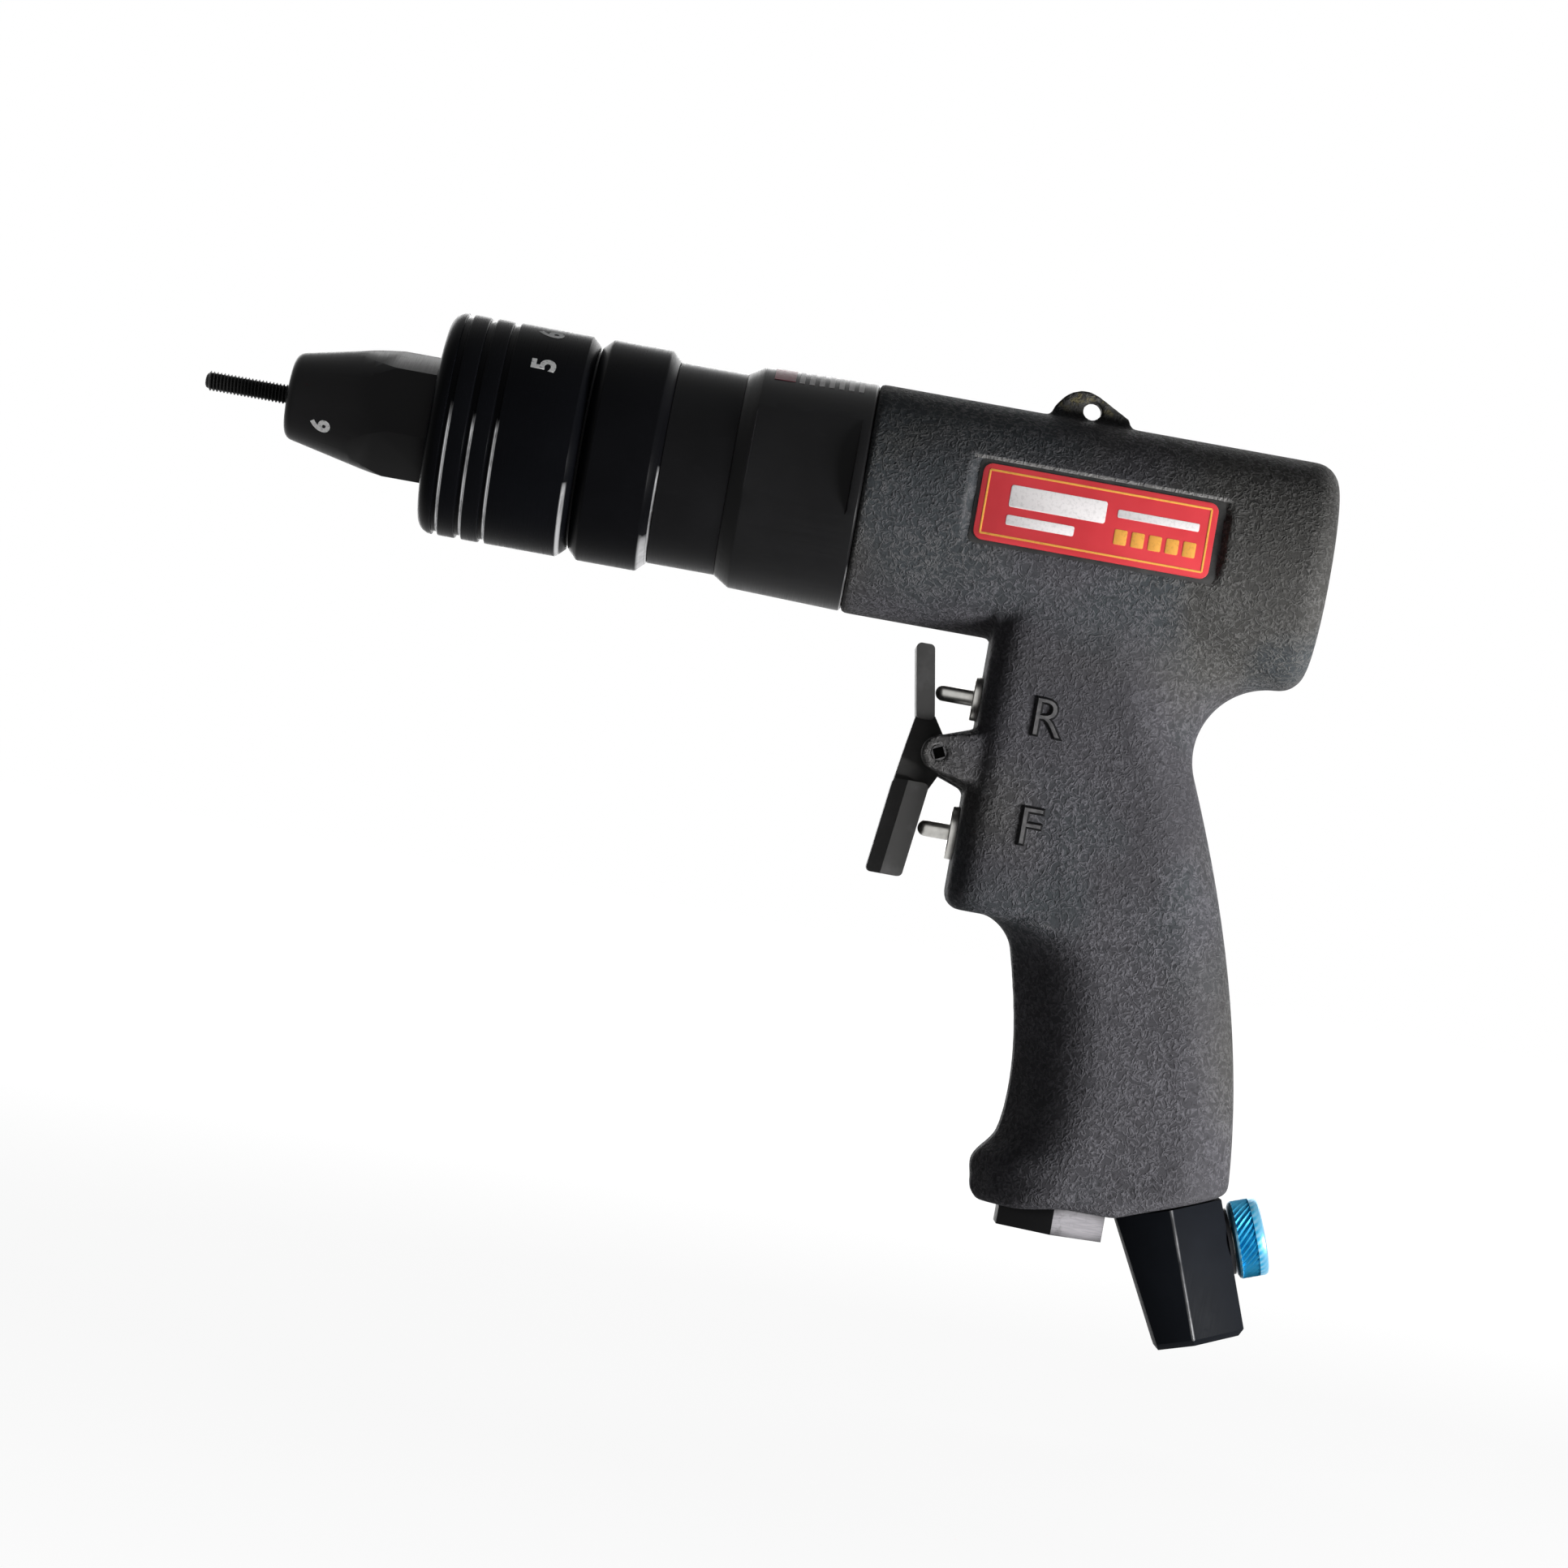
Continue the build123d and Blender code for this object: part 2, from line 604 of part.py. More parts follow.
# Clutch spring and the seat that it pushes against, which rests on the spindle bearing's inner race
shaft_radius = SPINDLE_BEARING_BORE / 2 - SEAT_FIT
with BuildPart() as spring_seat:
    tube(spring_seat_front, bearing_front, SLEEVE_FLANGE_RADIUS, shaft_radius + SEAT_FIT)
save(spring_seat, "spring_seat")
with BuildPart() as clutch_spring:
    spring_front = cam_rear + CLUTCH_SPRING_WIRE / 2 + SEAT_FIT
    spring_length = spring_seat_front - CLUTCH_SPRING_WIRE / 2 - SEAT_FIT - spring_front
    spring_radius = SLEEVE_FLANGE_RADIUS - CLUTCH_SPRING_WIRE / 2 - SIDE_ROOM
    coil((spring_front, 0, 0), spring_radius, CLUTCH_SPRING_WIRE, spring_length, CLUTCH_SPRING_TURNS)
save(clutch_spring, "clutch_spring")

# Planet carrier: plate, hub and the shaft whose hexagon turns the clutch cam
with BuildPart() as planet_carrier:
    turn(
        (spring_seat_front, 0),
        (spring_seat_front, shaft_radius),
        (spigot_rear, shaft_radius),
        (spigot_rear, CARRIER_HUB_RADIUS),
        (carrier_front, CARRIER_HUB_RADIUS),
        (carrier_front, carrier_radius),
        (carrier_rear, carrier_radius),
        (carrier_rear, 0),
    )
    hexagon(CARRIER_SHAFT_FLATS, Plane.YZ.offset(cam_front), spring_seat_front - cam_front)
    with BuildSketch(Plane.YZ.offset(carrier_front)):
        with PolarLocations(planet_orbit, PLANET_COUNT):
            Circle(PLANET_PIN_RADIUS + SEAT_FIT)
    extrude(amount=CARRIER_PLATE_THICKNESS, mode=Mode.SUBTRACT)
save(planet_carrier, "planet_carrier")

# Planet pins, pressed into the carrier, and the planet gears that turn on them
with BuildPart() as planet_pins:
    with BuildSketch(Plane.YZ.offset(carrier_front)):
        with PolarLocations(planet_orbit, PLANET_COUNT):
            Circle(PLANET_PIN_RADIUS)
    extrude(amount=pin_rear - carrier_front)
save(planet_pins, "planet_pins")
planet_corners = gear_outline(
    PLANET_TEETH,
    planet_pitch - DEDENDUM * GEAR_MODULE,
    planet_pitch + ADDENDUM * GEAR_MODULE,
    BACKLASH,
)
for number in range(PLANET_COUNT):
    around = 2 * pi * number / PLANET_COUNT
    planet_plane = Plane(
        origin=(planet_front, planet_orbit * cos(around), planet_orbit * sin(around)),
        x_dir=(0, cos(around), sin(around)),
        z_dir=(1, 0, 0),
    )
    with BuildPart() as planet_gear:
        gear_bar(planet_plane, planet_corners, GEAR_WIDTH)
        with BuildSketch(planet_plane):
            Circle(PLANET_PIN_RADIUS + RUNNING_FIT)
        extrude(amount=GEAR_WIDTH, mode=Mode.SUBTRACT)
    save(planet_gear, f"planet_gear_{number + 1}")

# Ring gear: fixed in the gear case, with its teeth cut as the spaces of a larger gear
with BuildPart() as ring_gear:
    ring_gear_plane = Plane.YZ.offset(ring_gear_front)
    rod(ring_gear_plane, ring_gear_radius, motor_front - ring_gear_front)
    ring_corners = gear_outline(
        ring_teeth,
        ring_pitch - ADDENDUM * GEAR_MODULE,
        ring_pitch + DEDENDUM * GEAR_MODULE,
        -BACKLASH,
    )
    gear_bar(ring_gear_plane, ring_corners, motor_front - ring_gear_front, mode=Mode.SUBTRACT)
save(ring_gear, "ring_gear")

# Spindle bearing, in the rear of the clutch housing
ball_bearing(
    "spindle_bearing",
    bearing_front,
    SPINDLE_BEARING_BORE,
    SPINDLE_BEARING_OUTER,
    SPINDLE_BEARING_WIDTH,
)

# Gear case: holds the ring gear, has two wrench flats, and screws into the housing
with BuildPart() as gear_case:
    gear_spigot_rear = housing_front + GEAR_CASE_SPIGOT_LENGTH
    gear_seat = ring_gear_radius + SEAT_FIT
    turn(
        (gear_front, SPIGOT_RADIUS + SEAT_FIT),
        (gear_front, NECK_RADIUS),
        (gear_front + GEAR_CASE_BEVEL, gear_case_front_radius),
        (housing_front - parting_chamfer, gear_case_rear_radius),
        (housing_front, gear_case_rear_radius - parting_chamfer),
        (housing_front, GEAR_CASE_SPIGOT_RADIUS),
        (gear_spigot_rear, GEAR_CASE_SPIGOT_RADIUS),
        (gear_spigot_rear, gear_seat),
        (ring_gear_front, gear_seat),
        (ring_gear_front, CARRIER_HUB_RADIUS + 2 * SIDE_ROOM),
        (spigot_rear, CARRIER_HUB_RADIUS + 2 * SIDE_ROOM),
        (spigot_rear, SPIGOT_RADIUS + SEAT_FIT),
    )
    flat_turn = radians(WRENCH_FLAT_TURN)
    for side in (1, -1):
        flat_plane = Plane(
            origin=(gear_front + GEAR_CASE_BEVEL, 0, 0),
            x_dir=(1, 0, 0),
            z_dir=(0, -side * cos(flat_turn), side * sin(flat_turn)),
        )
        with BuildSketch(flat_plane.offset(gear_case_front_radius - WRENCH_FLAT_DEPTH)):
            Rectangle(WRENCH_FLAT_LENGTH, 2 * BARREL_RADIUS, align=(Align.MIN, Align.CENTER))
        extrude(amount=BARREL_RADIUS, mode=Mode.SUBTRACT)
save(gear_case, "gear_case")

# Motor end plates: each holds a ball bearing, the front one open forwards and the rear one backwards
motor_seat = MOTOR_BEARING_OUTER / 2 + SEAT_FIT
motor_shaft_room = MOTOR_BEARING_BORE / 2 + SIDE_ROOM
dowel_ring = (MOTOR_BORE_RADIUS + cylinder_bore - ROTOR_OFFSET) / 2
with BuildPart() as front_end_plate:
    turn(
        (motor_front, motor_seat),
        (motor_front, ring_gear_radius),
        (cylinder_front, ring_gear_radius),
        (cylinder_front, motor_shaft_room),
        (motor_front + MOTOR_BEARING_WIDTH, motor_shaft_room),
        (motor_front + MOTOR_BEARING_WIDTH, motor_seat),
    )
    with BuildSketch(Plane.YZ.offset(motor_front)):
        with Locations((0, dowel_ring)):
            Circle(DOWEL_RADIUS + SEAT_FIT)
    extrude(amount=end_plate_thickness, mode=Mode.SUBTRACT)
save(front_end_plate, "front_end_plate")
with BuildPart() as rear_end_plate:
    bearing_web = rear_plate_rear - MOTOR_BEARING_WIDTH
    turn(
        (cylinder_rear, motor_shaft_room),
        (cylinder_rear, cylinder_radius),
        (rear_plate_rear, cylinder_radius),
        (rear_plate_rear, motor_seat),
        (bearing_web, motor_seat),
        (bearing_web, motor_shaft_room),
    )
    with BuildSketch(Plane.YZ.offset(cylinder_rear)):
        with Locations((0, dowel_ring)):
            Circle(DOWEL_RADIUS + SEAT_FIT)
    extrude(amount=end_plate_thickness, mode=Mode.SUBTRACT)
save(rear_end_plate, "rear_end_plate")

# Motor cylinder: its bore lies off the rotor's axis, and a row of ports lets the spent air out below
with BuildPart() as motor_cylinder:
    with BuildSketch(Plane.YZ.offset(cylinder_front)):
        Circle(cylinder_radius)
        with Locations((0, -ROTOR_OFFSET)):
            Circle(cylinder_bore, mode=Mode.SUBTRACT)
        with Locations((0, dowel_ring)):
            Circle(DOWEL_RADIUS + SEAT_FIT, mode=Mode.SUBTRACT)
    extrude(amount=cylinder_rear - cylinder_front)
    with BuildSketch(Plane.XY):
        with Locations(((pocket_front + pocket_rear) / 2, 0)):
            with GridLocations(PORT_PITCH, 0, PORT_COUNT, 1):
                Circle(PORT_RADIUS)
    extrude(amount=-2 * cylinder_radius, mode=Mode.SUBTRACT)
save(motor_cylinder, "motor_cylinder")

# Dowel that keeps the plates and the cylinder in line
with BuildPart() as motor_dowel:
    with BuildSketch(Plane.YZ.offset(motor_front + END_PLAY)):
        with Locations((0, dowel_ring)):
            Circle(DOWEL_RADIUS)
    extrude(amount=rear_plate_rear - motor_front - 2 * END_PLAY)
save(motor_dowel, "motor_dowel")

# Rotor: slotted body with journals at both ends and the sun pinion cut on its front
rotor_front = cylinder_front + END_PLAY
rotor_rear = cylinder_rear - END_PLAY
journal_radius = MOTOR_BEARING_BORE / 2 - SEAT_FIT
with BuildPart() as rotor:
    turn(
        (motor_front, 0),
        (motor_front, journal_radius),
        (rotor_front, journal_radius),
        (rotor_front, ROTOR_RADIUS),
        (rotor_rear, ROTOR_RADIUS),
        (rotor_rear, journal_radius),
        (rear_plate_rear, journal_radius),
        (rear_plate_rear, 0),
    )
    with BuildSketch(Plane.YZ.offset(rotor_front)):
        with PolarLocations(ROTOR_RADIUS, VANE_COUNT):
            Rectangle(2 * VANE_DEPTH, VANE_THICKNESS)
    extrude(amount=rotor_rear - rotor_front, mode=Mode.SUBTRACT)
    sun_corners = gear_outline(
        SUN_TEETH,
        sun_pitch - DEDENDUM * GEAR_MODULE,
        sun_pitch + ADDENDUM * GEAR_MODULE,
        BACKLASH,
    )
    gear_bar(Plane.YZ.offset(planet_front), sun_corners, motor_front - planet_front)
save(rotor, "rotor")

# Vanes, shown drawn back into the rotor's slots
with BuildPart() as rotor_vanes:
    vane_depth = VANE_DEPTH - 2 * SIDE_ROOM
    vane_middle = ROTOR_RADIUS - SIDE_ROOM - vane_depth / 2
    with BuildSketch(Plane.YZ.offset(rotor_front)):
        with PolarLocations(vane_middle, VANE_COUNT):
            Rectangle(vane_depth, VANE_THICKNESS - 2 * RUNNING_FIT)
    extrude(amount=rotor_rear - rotor_front)
save(rotor_vanes, "rotor_vanes")

# Motor bearings in the two end plates, and the washer that presses the motor forwards
ball_bearing("front_bearing", motor_front, MOTOR_BEARING_BORE, MOTOR_BEARING_OUTER, MOTOR_BEARING_WIDTH)
ball_bearing("rear_bearing", bearing_web, MOTOR_BEARING_BORE, MOTOR_BEARING_OUTER, MOTOR_BEARING_WIDTH)
with BuildPart() as motor_washer:
    tube(rear_plate_rear, motor_bore_end, cylinder_radius, motor_seat)
save(motor_washer, "motor_washer")

# Planes of the grip's base and of the name plate: the inlet's plane looks down the inlet's own axis
inlet_tilt = radians(INLET_TILT)
inlet_plane = Plane(
    origin=(handle_datum + INLET_PLACE, 0, -INLET_DROP),
    x_dir=(cos(inlet_tilt), 0, sin(inlet_tilt)),
    z_dir=(sin(inlet_tilt), 0, -cos(inlet_tilt)),
)
exhaust_plane = Plane(origin=(exhaust_x, 0, -GRIP_DROP), x_dir=(1, 0, 0), z_dir=(0, 0, -1))
plate_plane = Plane(
    origin=(handle_datum + PLATE_PLACE, 0, 0),
    x_dir=(1, 0, 0),
    z_dir=(0, -cos(radians(PLATE_TURN)), sin(radians(PLATE_TURN))),
)
forward_reach = (INLET_DROP + forward_z) / cos(inlet_tilt)
reverse_reach = (INLET_DROP + reverse_z) / cos(inlet_tilt)

# Front of the handle: a block with a rounded underside, which becomes part of the housing
handle_width = 2 * (HANDLE_HALF_WIDTH - HANDLE_SIDE_STEP)
with BuildPart() as handle_block:
    with BuildSketch(Plane.XY.offset(-SHELF_DROP)):
        with Locations((handle_front, 0)):
            RectangleRounded(HANDLE_DEPTH, handle_width, HANDLE_FRONT_ROUND, align=(Align.MIN, Align.CENTER))
    extrude(amount=SHELF_DROP - BARREL_RADIUS / 2)
    fillet(handle_block.faces().sort_by(Axis.Z)[0].edges(), SHELF_NOSE_ROUND)

# Housing: one casting with the barrel, the handle, the trigger's ears and the hanger lug
with BuildPart() as motor_housing:
    # Grip
    for drop, front, rear, half_width in GRIP_SECTIONS:
        with BuildSketch(Plane.XY.offset(-drop)):
            with Locations((handle_datum + (front + rear) / 2, 0)):
                RectangleRounded(rear - front, 2 * half_width, GRIP_ROUND)
    loft()
    blend_start = radians(SHELF_BLEND_START)
    blend_end = radians(SHELF_BLEND_END)
    blend_drop = SHELF_DROP + SHELF_BLEND * (cos(blend_start) - cos(blend_end))
    blend_axis = Axis((housing_front, 0, -blend_drop), (1, 0, 0))
    blend_rear = motor_housing.part.find_intersection_points(blend_axis)[0][0].X + SHELF_BLEND_SINK

    # Barrel, blended into the grip
    with BuildSketch(Plane.YZ.offset(housing_front)):
        Circle(BARREL_RADIUS)
    extrude(amount=BARREL_LENGTH)
    junction = motor_housing.edges().filter_by(GeomType.BSPLINE)
    junction = junction.filter_by_position(Axis.Z, -BARREL_RADIUS - SIDE_ROOM, -BARREL_RADIUS / 2)
    fillet(junction, THROAT_BLEND)
    fillet(rim(motor_housing, -1, -1), BARREL_REAR_ROUND)

    # Flat front of the handle, down to the shelf over the middle finger, with a round hollow below it
    with BuildSketch(Plane.YZ.offset(housing_front)):
        Rectangle(4 * BARREL_RADIUS, 2 * GRIP_DROP, align=(Align.CENTER, Align.MAX))
        Circle(BARREL_RADIUS, mode=Mode.SUBTRACT)
    extrude(amount=handle_front - housing_front, mode=Mode.SUBTRACT)
    for step in range(SHELF_BLEND_SECTIONS):
        angle = blend_start + (blend_end - blend_start) * step / (SHELF_BLEND_SECTIONS - 1)
        with BuildSketch(Plane.XY.offset(-SHELF_DROP - SHELF_BLEND * (cos(blend_start) - cos(angle)))):
            with Locations((blend_rear - SHELF_BLEND * (sin(blend_end) - sin(angle)), 0)):
                RectangleRounded(HANDLE_DEPTH, handle_width, GRIP_ROUND, align=(Align.MIN, Align.CENTER))
    loft()
    extrude(motor_housing.faces().filter_by(Axis.Z).sort_by(Axis.Z)[-1], amount=2 * SHELF_NOSE_ROUND)
    add(handle_block.part)

    # Base of the grip: level under the exhaust, tilted under the inlet
    split(bisect_by=exhaust_plane, keep=Keep.BOTTOM)
    split(bisect_by=inlet_plane, keep=Keep.BOTTOM)
    base = motor_housing.faces().filter_by(GeomType.PLANE).sort_by(Axis.Z)[:2]
    fillet(base.edges().filter_by(GeomType.LINE, reverse=True), BASE_ROUND)

    # Hanger lug on top, with its eye
    with BuildSketch(Plane.XZ.offset(-LUG_THICKNESS / 2)):
        with Locations((handle_datum + LUG_PLACE - LUG_LEAN, BARREL_RADIUS)):
            Circle(LUG_RADIUS)
        with Locations((handle_datum + LUG_PLACE, BARREL_RADIUS)):
            Rectangle(LUG_BASE, LUG_RADIUS / 2)
        make_hull()
        with Locations((handle_datum + LUG_PLACE, BARREL_RADIUS + EYE_RISE)):
            Circle(EYE_RADIUS, mode=Mode.SUBTRACT)
    extrude(amount=LUG_THICKNESS)

    # Two ears that hold the trigger's pin
    for side in (1, -1):
        with BuildSketch(Plane.XZ.offset(side * ear_inner)):
            with Locations((pivot_x, pivot_z)):
                Circle(EAR_NOSE_RADIUS)
            with Locations((handle_front + EAR_NOSE_RADIUS, pivot_z)):
                Rectangle(EAR_NOSE_RADIUS, EAR_ROOT_HEIGHT)
            make_hull()
            with Locations((pivot_x, pivot_z)):
                Circle(PIVOT_PIN_RADIUS + SEAT_FIT, mode=Mode.SUBTRACT)
        extrude(amount=side * EAR_THICKNESS)

    # Bore for the motor, wider at the front where the gear case screws in
    rod(Plane.YZ.offset(housing_front), MOTOR_BORE_RADIUS, motor_bore_end - housing_front, Mode.SUBTRACT)
    spigot_depth = GEAR_CASE_SPIGOT_LENGTH + SIDE_ROOM
    rod(Plane.YZ.offset(housing_front), GEAR_CASE_SPIGOT_RADIUS + SEAT_FIT, spigot_depth, Mode.SUBTRACT)
    chamfer(rim(motor_housing, 0, -1), parting_chamfer)

    # Pocket that gathers the spent air under the motor, and two ducts down to the exhaust port
    with BuildSketch(Plane.XY.offset(-MOTOR_BORE_RADIUS - EXHAUST_POCKET_DEPTH)):
        with Locations((pocket_front, 0)):
            Rectangle(EXHAUST_POCKET_LENGTH, 2 * EXHAUST_DUCT_SPREAD, align=(Align.MIN, Align.CENTER))
    extrude(amount=MOTOR_BORE_RADIUS, mode=Mode.SUBTRACT)
    with BuildSketch(exhaust_plane.offset(-EXHAUST_SHANK_LENGTH)):
        with GridLocations(0, 2 * EXHAUST_DUCT_SPREAD, 1, 2):
            Circle(EXHAUST_DUCT_RADIUS)
    extrude(amount=MOTOR_BORE_RADIUS / 2 + EXHAUST_SHANK_LENGTH - GRIP_DROP, mode=Mode.SUBTRACT)
    port_depth = EXHAUST_SHANK_LENGTH + 2 * EXHAUST_DUCT_RADIUS
    rod(exhaust_plane, EXHAUST_SHANK_RADIUS + SEAT_FIT, -port_depth, Mode.SUBTRACT)

    # Valve chambers behind the trigger, then the inlet with its duct up to them
    for height in (reverse_z, forward_z):
        valve_plane = Plane((handle_front, 0, height), x_dir=(0, 1, 0), z_dir=(1, 0, 0))
        rod(valve_plane, BUSH_RADIUS + SEAT_FIT, BUSH_LENGTH, Mode.SUBTRACT)
        rod(valve_plane, VALVE_CHAMBER_RADIUS, chamber_end - handle_front, Mode.SUBTRACT)
    duct_x = handle_datum + INLET_PLACE - (INLET_DROP + forward_z) * tan(inlet_tilt)
    rod(valve_plane, INLET_BRANCH_RADIUS, duct_x - handle_front, Mode.SUBTRACT)
    rod(inlet_plane, INLET_THREAD_RADIUS + SEAT_FIT, -INLET_PORT_DEPTH, Mode.SUBTRACT)
    rod(inlet_plane, INLET_DUCT_RADIUS, -forward_reach - INLET_DUCT_RADIUS, Mode.SUBTRACT)
    rod(inlet_plane, INLET_BRANCH_RADIUS, -reverse_reach, Mode.SUBTRACT)

    # Recess for the name plate
    with BuildSketch(plate_plane.offset(PLATE_SEAT)):
        RectangleRounded(
            PLATE_LENGTH + 2 * PLATE_END_MARGIN,
            PLATE_HEIGHT + 2 * PLATE_SIDE_MARGIN,
            PLATE_CORNER,
        )
    extrude(amount=BARREL_RADIUS, mode=Mode.SUBTRACT)
save(motor_housing, "motor_housing")

# Name plate, glued to the floor of its recess
with BuildPart() as name_plate:
    with BuildSketch(plate_plane.offset(PLATE_SEAT)):
        RectangleRounded(PLATE_LENGTH, PLATE_HEIGHT, PLATE_CORNER)
    extrude(amount=PLATE_THICKNESS)
save(name_plate, "name_plate")

# Trigger pin, fixed in the ears
with BuildPart() as trigger_pin:
    pin_reach = ear_outer - PIVOT_PIN_INSET
    with BuildSketch(Plane.XZ.offset(-pin_reach)):
        with Locations((pivot_x, pivot_z)):
            Circle(PIVOT_PIN_RADIUS)
    extrude(amount=2 * pin_reach)
save(trigger_pin, "trigger_pin")

# Trigger: a rocker with a narrow hub between the ears and a wide pad above and below
with BuildPart() as trigger:
    upper_front = pivot_x - UPPER_PAD_FRONT
    lower_front = pivot_x - LOWER_PAD_FRONT
    pads_top = pivot_z + PAD_GAP + UPPER_PAD_HEIGHT
    pads_foot = pivot_z - PAD_GAP - LOWER_PAD_HEIGHT
    upper_pad = (
        (upper_front, pivot_z + PAD_GAP),
        (upper_front - UPPER_PAD_LEAN, pads_top),
        (upper_front - UPPER_PAD_LEAN + UPPER_PAD_DEPTH, pads_top),
        (upper_front + UPPER_PAD_DEPTH, pivot_z + PAD_GAP),
    )
    lower_pad = (
        (lower_front, pivot_z - PAD_GAP),
        (lower_front - LOWER_PAD_LEAN, pads_foot),
        (lower_front - LOWER_PAD_LEAN + LOWER_PAD_DEPTH, pads_foot),
        (lower_front + LOWER_PAD_DEPTH, pivot_z - PAD_GAP),
    )
    for corners in (upper_pad, lower_pad):
        with BuildSketch(Plane.XZ.offset(-TRIGGER_PAD_WIDTH / 2)):
            with BuildLine():
                Polyline(*corners, close=True)
            make_face()
        extrude(amount=TRIGGER_PAD_WIDTH)
    fillet(trigger.edges().filter_by(Axis.Y), TRIGGER_ROUND)
    with BuildSketch(Plane.XZ.offset(-TRIGGER_HUB_WIDTH / 2)):
        with Locations((pivot_x, pivot_z)):
            Circle(TRIGGER_HUB_RADIUS)
        with BuildLine():
            Polyline(
                (upper_front, pivot_z + PAD_GAP + TRIGGER_ROUND),
                (upper_front + UPPER_PAD_DEPTH, pivot_z + PAD_GAP + TRIGGER_ROUND),
                (pivot_x + TRIGGER_HUB_RADIUS, pivot_z),
                (lower_front + LOWER_PAD_DEPTH, pivot_z - PAD_GAP - TRIGGER_ROUND),
                (lower_front, pivot_z - PAD_GAP - TRIGGER_ROUND),
                (pivot_x - TRIGGER_FRONT, pivot_z),
                close=True,
            )
        make_face()
        with Locations((pivot_x, pivot_z)):
            Circle(PIVOT_PIN_RADIUS + RUNNING_FIT, mode=Mode.SUBTRACT)
    extrude(amount=TRIGGER_HUB_WIDTH)
save(trigger, "trigger")

# Valves: each has a flanged bush in the handle's front, a stem with a spool behind it, a seal and a spring
reverse_pad = upper_front + UPPER_PAD_DEPTH - UPPER_PAD_LEAN * (VALVE_RISE - PAD_GAP) / UPPER_PAD_HEIGHT
forward_pad = lower_front + LOWER_PAD_DEPTH - LOWER_PAD_LEAN * (VALVE_FALL - PAD_GAP) / LOWER_PAD_HEIGHT
spool_radius = VALVE_CHAMBER_RADIUS - SPOOL_ROOM
seal_inner = spool_radius - SEAL_DEPTH
seal_front = (spool_front + spool_rear - SEAL_WIDTH) / 2
for name, height, pad in (("reverse", reverse_z, reverse_pad), ("forward", forward_z, forward_pad)):
    with BuildPart() as valve_bush:
        turn(
            (handle_front - BUSH_FLANGE_THICKNESS, STEM_RADIUS + RUNNING_FIT),
            (handle_front - BUSH_FLANGE_THICKNESS, BUSH_FLANGE_RADIUS),
            (handle_front, BUSH_FLANGE_RADIUS),
            (handle_front, BUSH_RADIUS),
            (bush_rear, BUSH_RADIUS),
            (bush_rear, STEM_RADIUS + RUNNING_FIT),
            height=height,
        )
    save(valve_bush, f"{name}_bush")
    with BuildPart() as valve_stem:
        stem_tip = pad + STEM_GAP
        with BuildSketch(upright(height)):
            with BuildLine():
                CenterArc((stem_tip + STEM_RADIUS, 0), STEM_RADIUS, 90, 90)
                Polyline(
                    (stem_tip + STEM_RADIUS, STEM_RADIUS),
                    (spool_front, STEM_RADIUS),
                    (spool_front, spool_radius),
                    (seal_front, spool_radius),
                    (seal_front, seal_inner),
                    (seal_front + SEAL_WIDTH, seal_inner),
                    (seal_front + SEAL_WIDTH, spool_radius),
                    (spool_rear, spool_radius),
                    (spool_rear, 0),
                    (stem_tip, 0),
                )
            make_face()
        revolve(axis=Axis((0, 0, height), (1, 0, 0)))
    save(valve_stem, f"{name}_stem")
    with BuildPart() as valve_seal:
        turn(
            (seal_front, seal_inner),
            (seal_front, VALVE_CHAMBER_RADIUS - RUNNING_FIT),
            (seal_front + SEAL_WIDTH, VALVE_CHAMBER_RADIUS - RUNNING_FIT),
            (seal_front + SEAL_WIDTH, seal_inner),
            height=height,
        )
    save(valve_seal, f"{name}_seal")
    with BuildPart() as valve_spring:
        wire_room = VALVE_SPRING_WIRE / 2 + SEAT_FIT
        mean_radius = spool_radius - VALVE_SPRING_WIRE / 2
        coil_length = VALVE_SPRING_LENGTH - 2 * wire_room
        coil_start = (spool_rear + wire_room, 0, height)
        coil(coil_start, mean_radius, VALVE_SPRING_WIRE, coil_length, VALVE_SPRING_TURNS)
    save(valve_spring, f"{name}_spring")

# Exhaust cap: a hexagon plug, hollow inside and drilled through, with a porous disc held in it
with BuildPart() as exhaust_cap:
    cap_bore = EXHAUST_SHANK_RADIUS - EXHAUST_WALL
    hexagon(EXHAUST_FLATS, exhaust_plane, EXHAUST_HEAD_THICKNESS, turned=FLAT_FORWARD)
    rod(exhaust_plane, EXHAUST_SHANK_RADIUS, -EXHAUST_SHANK_LENGTH)
    rod(exhaust_plane, cap_bore, -EXHAUST_SHANK_LENGTH, Mode.SUBTRACT)
    with BuildSketch(exhaust_plane):
        Circle(EXHAUST_HOLE_RADIUS)
        with PolarLocations(EXHAUST_HOLE_RING, EXHAUST_HOLE_COUNT):
            Circle(EXHAUST_HOLE_RADIUS)
    extrude(amount=EXHAUST_HEAD_THICKNESS, mode=Mode.SUBTRACT)
save(exhaust_cap, "exhaust_cap")
with BuildPart() as silencer:
    rod(exhaust_plane, cap_bore - SEAT_FIT, -SILENCER_THICKNESS)
save(silencer, "silencer")

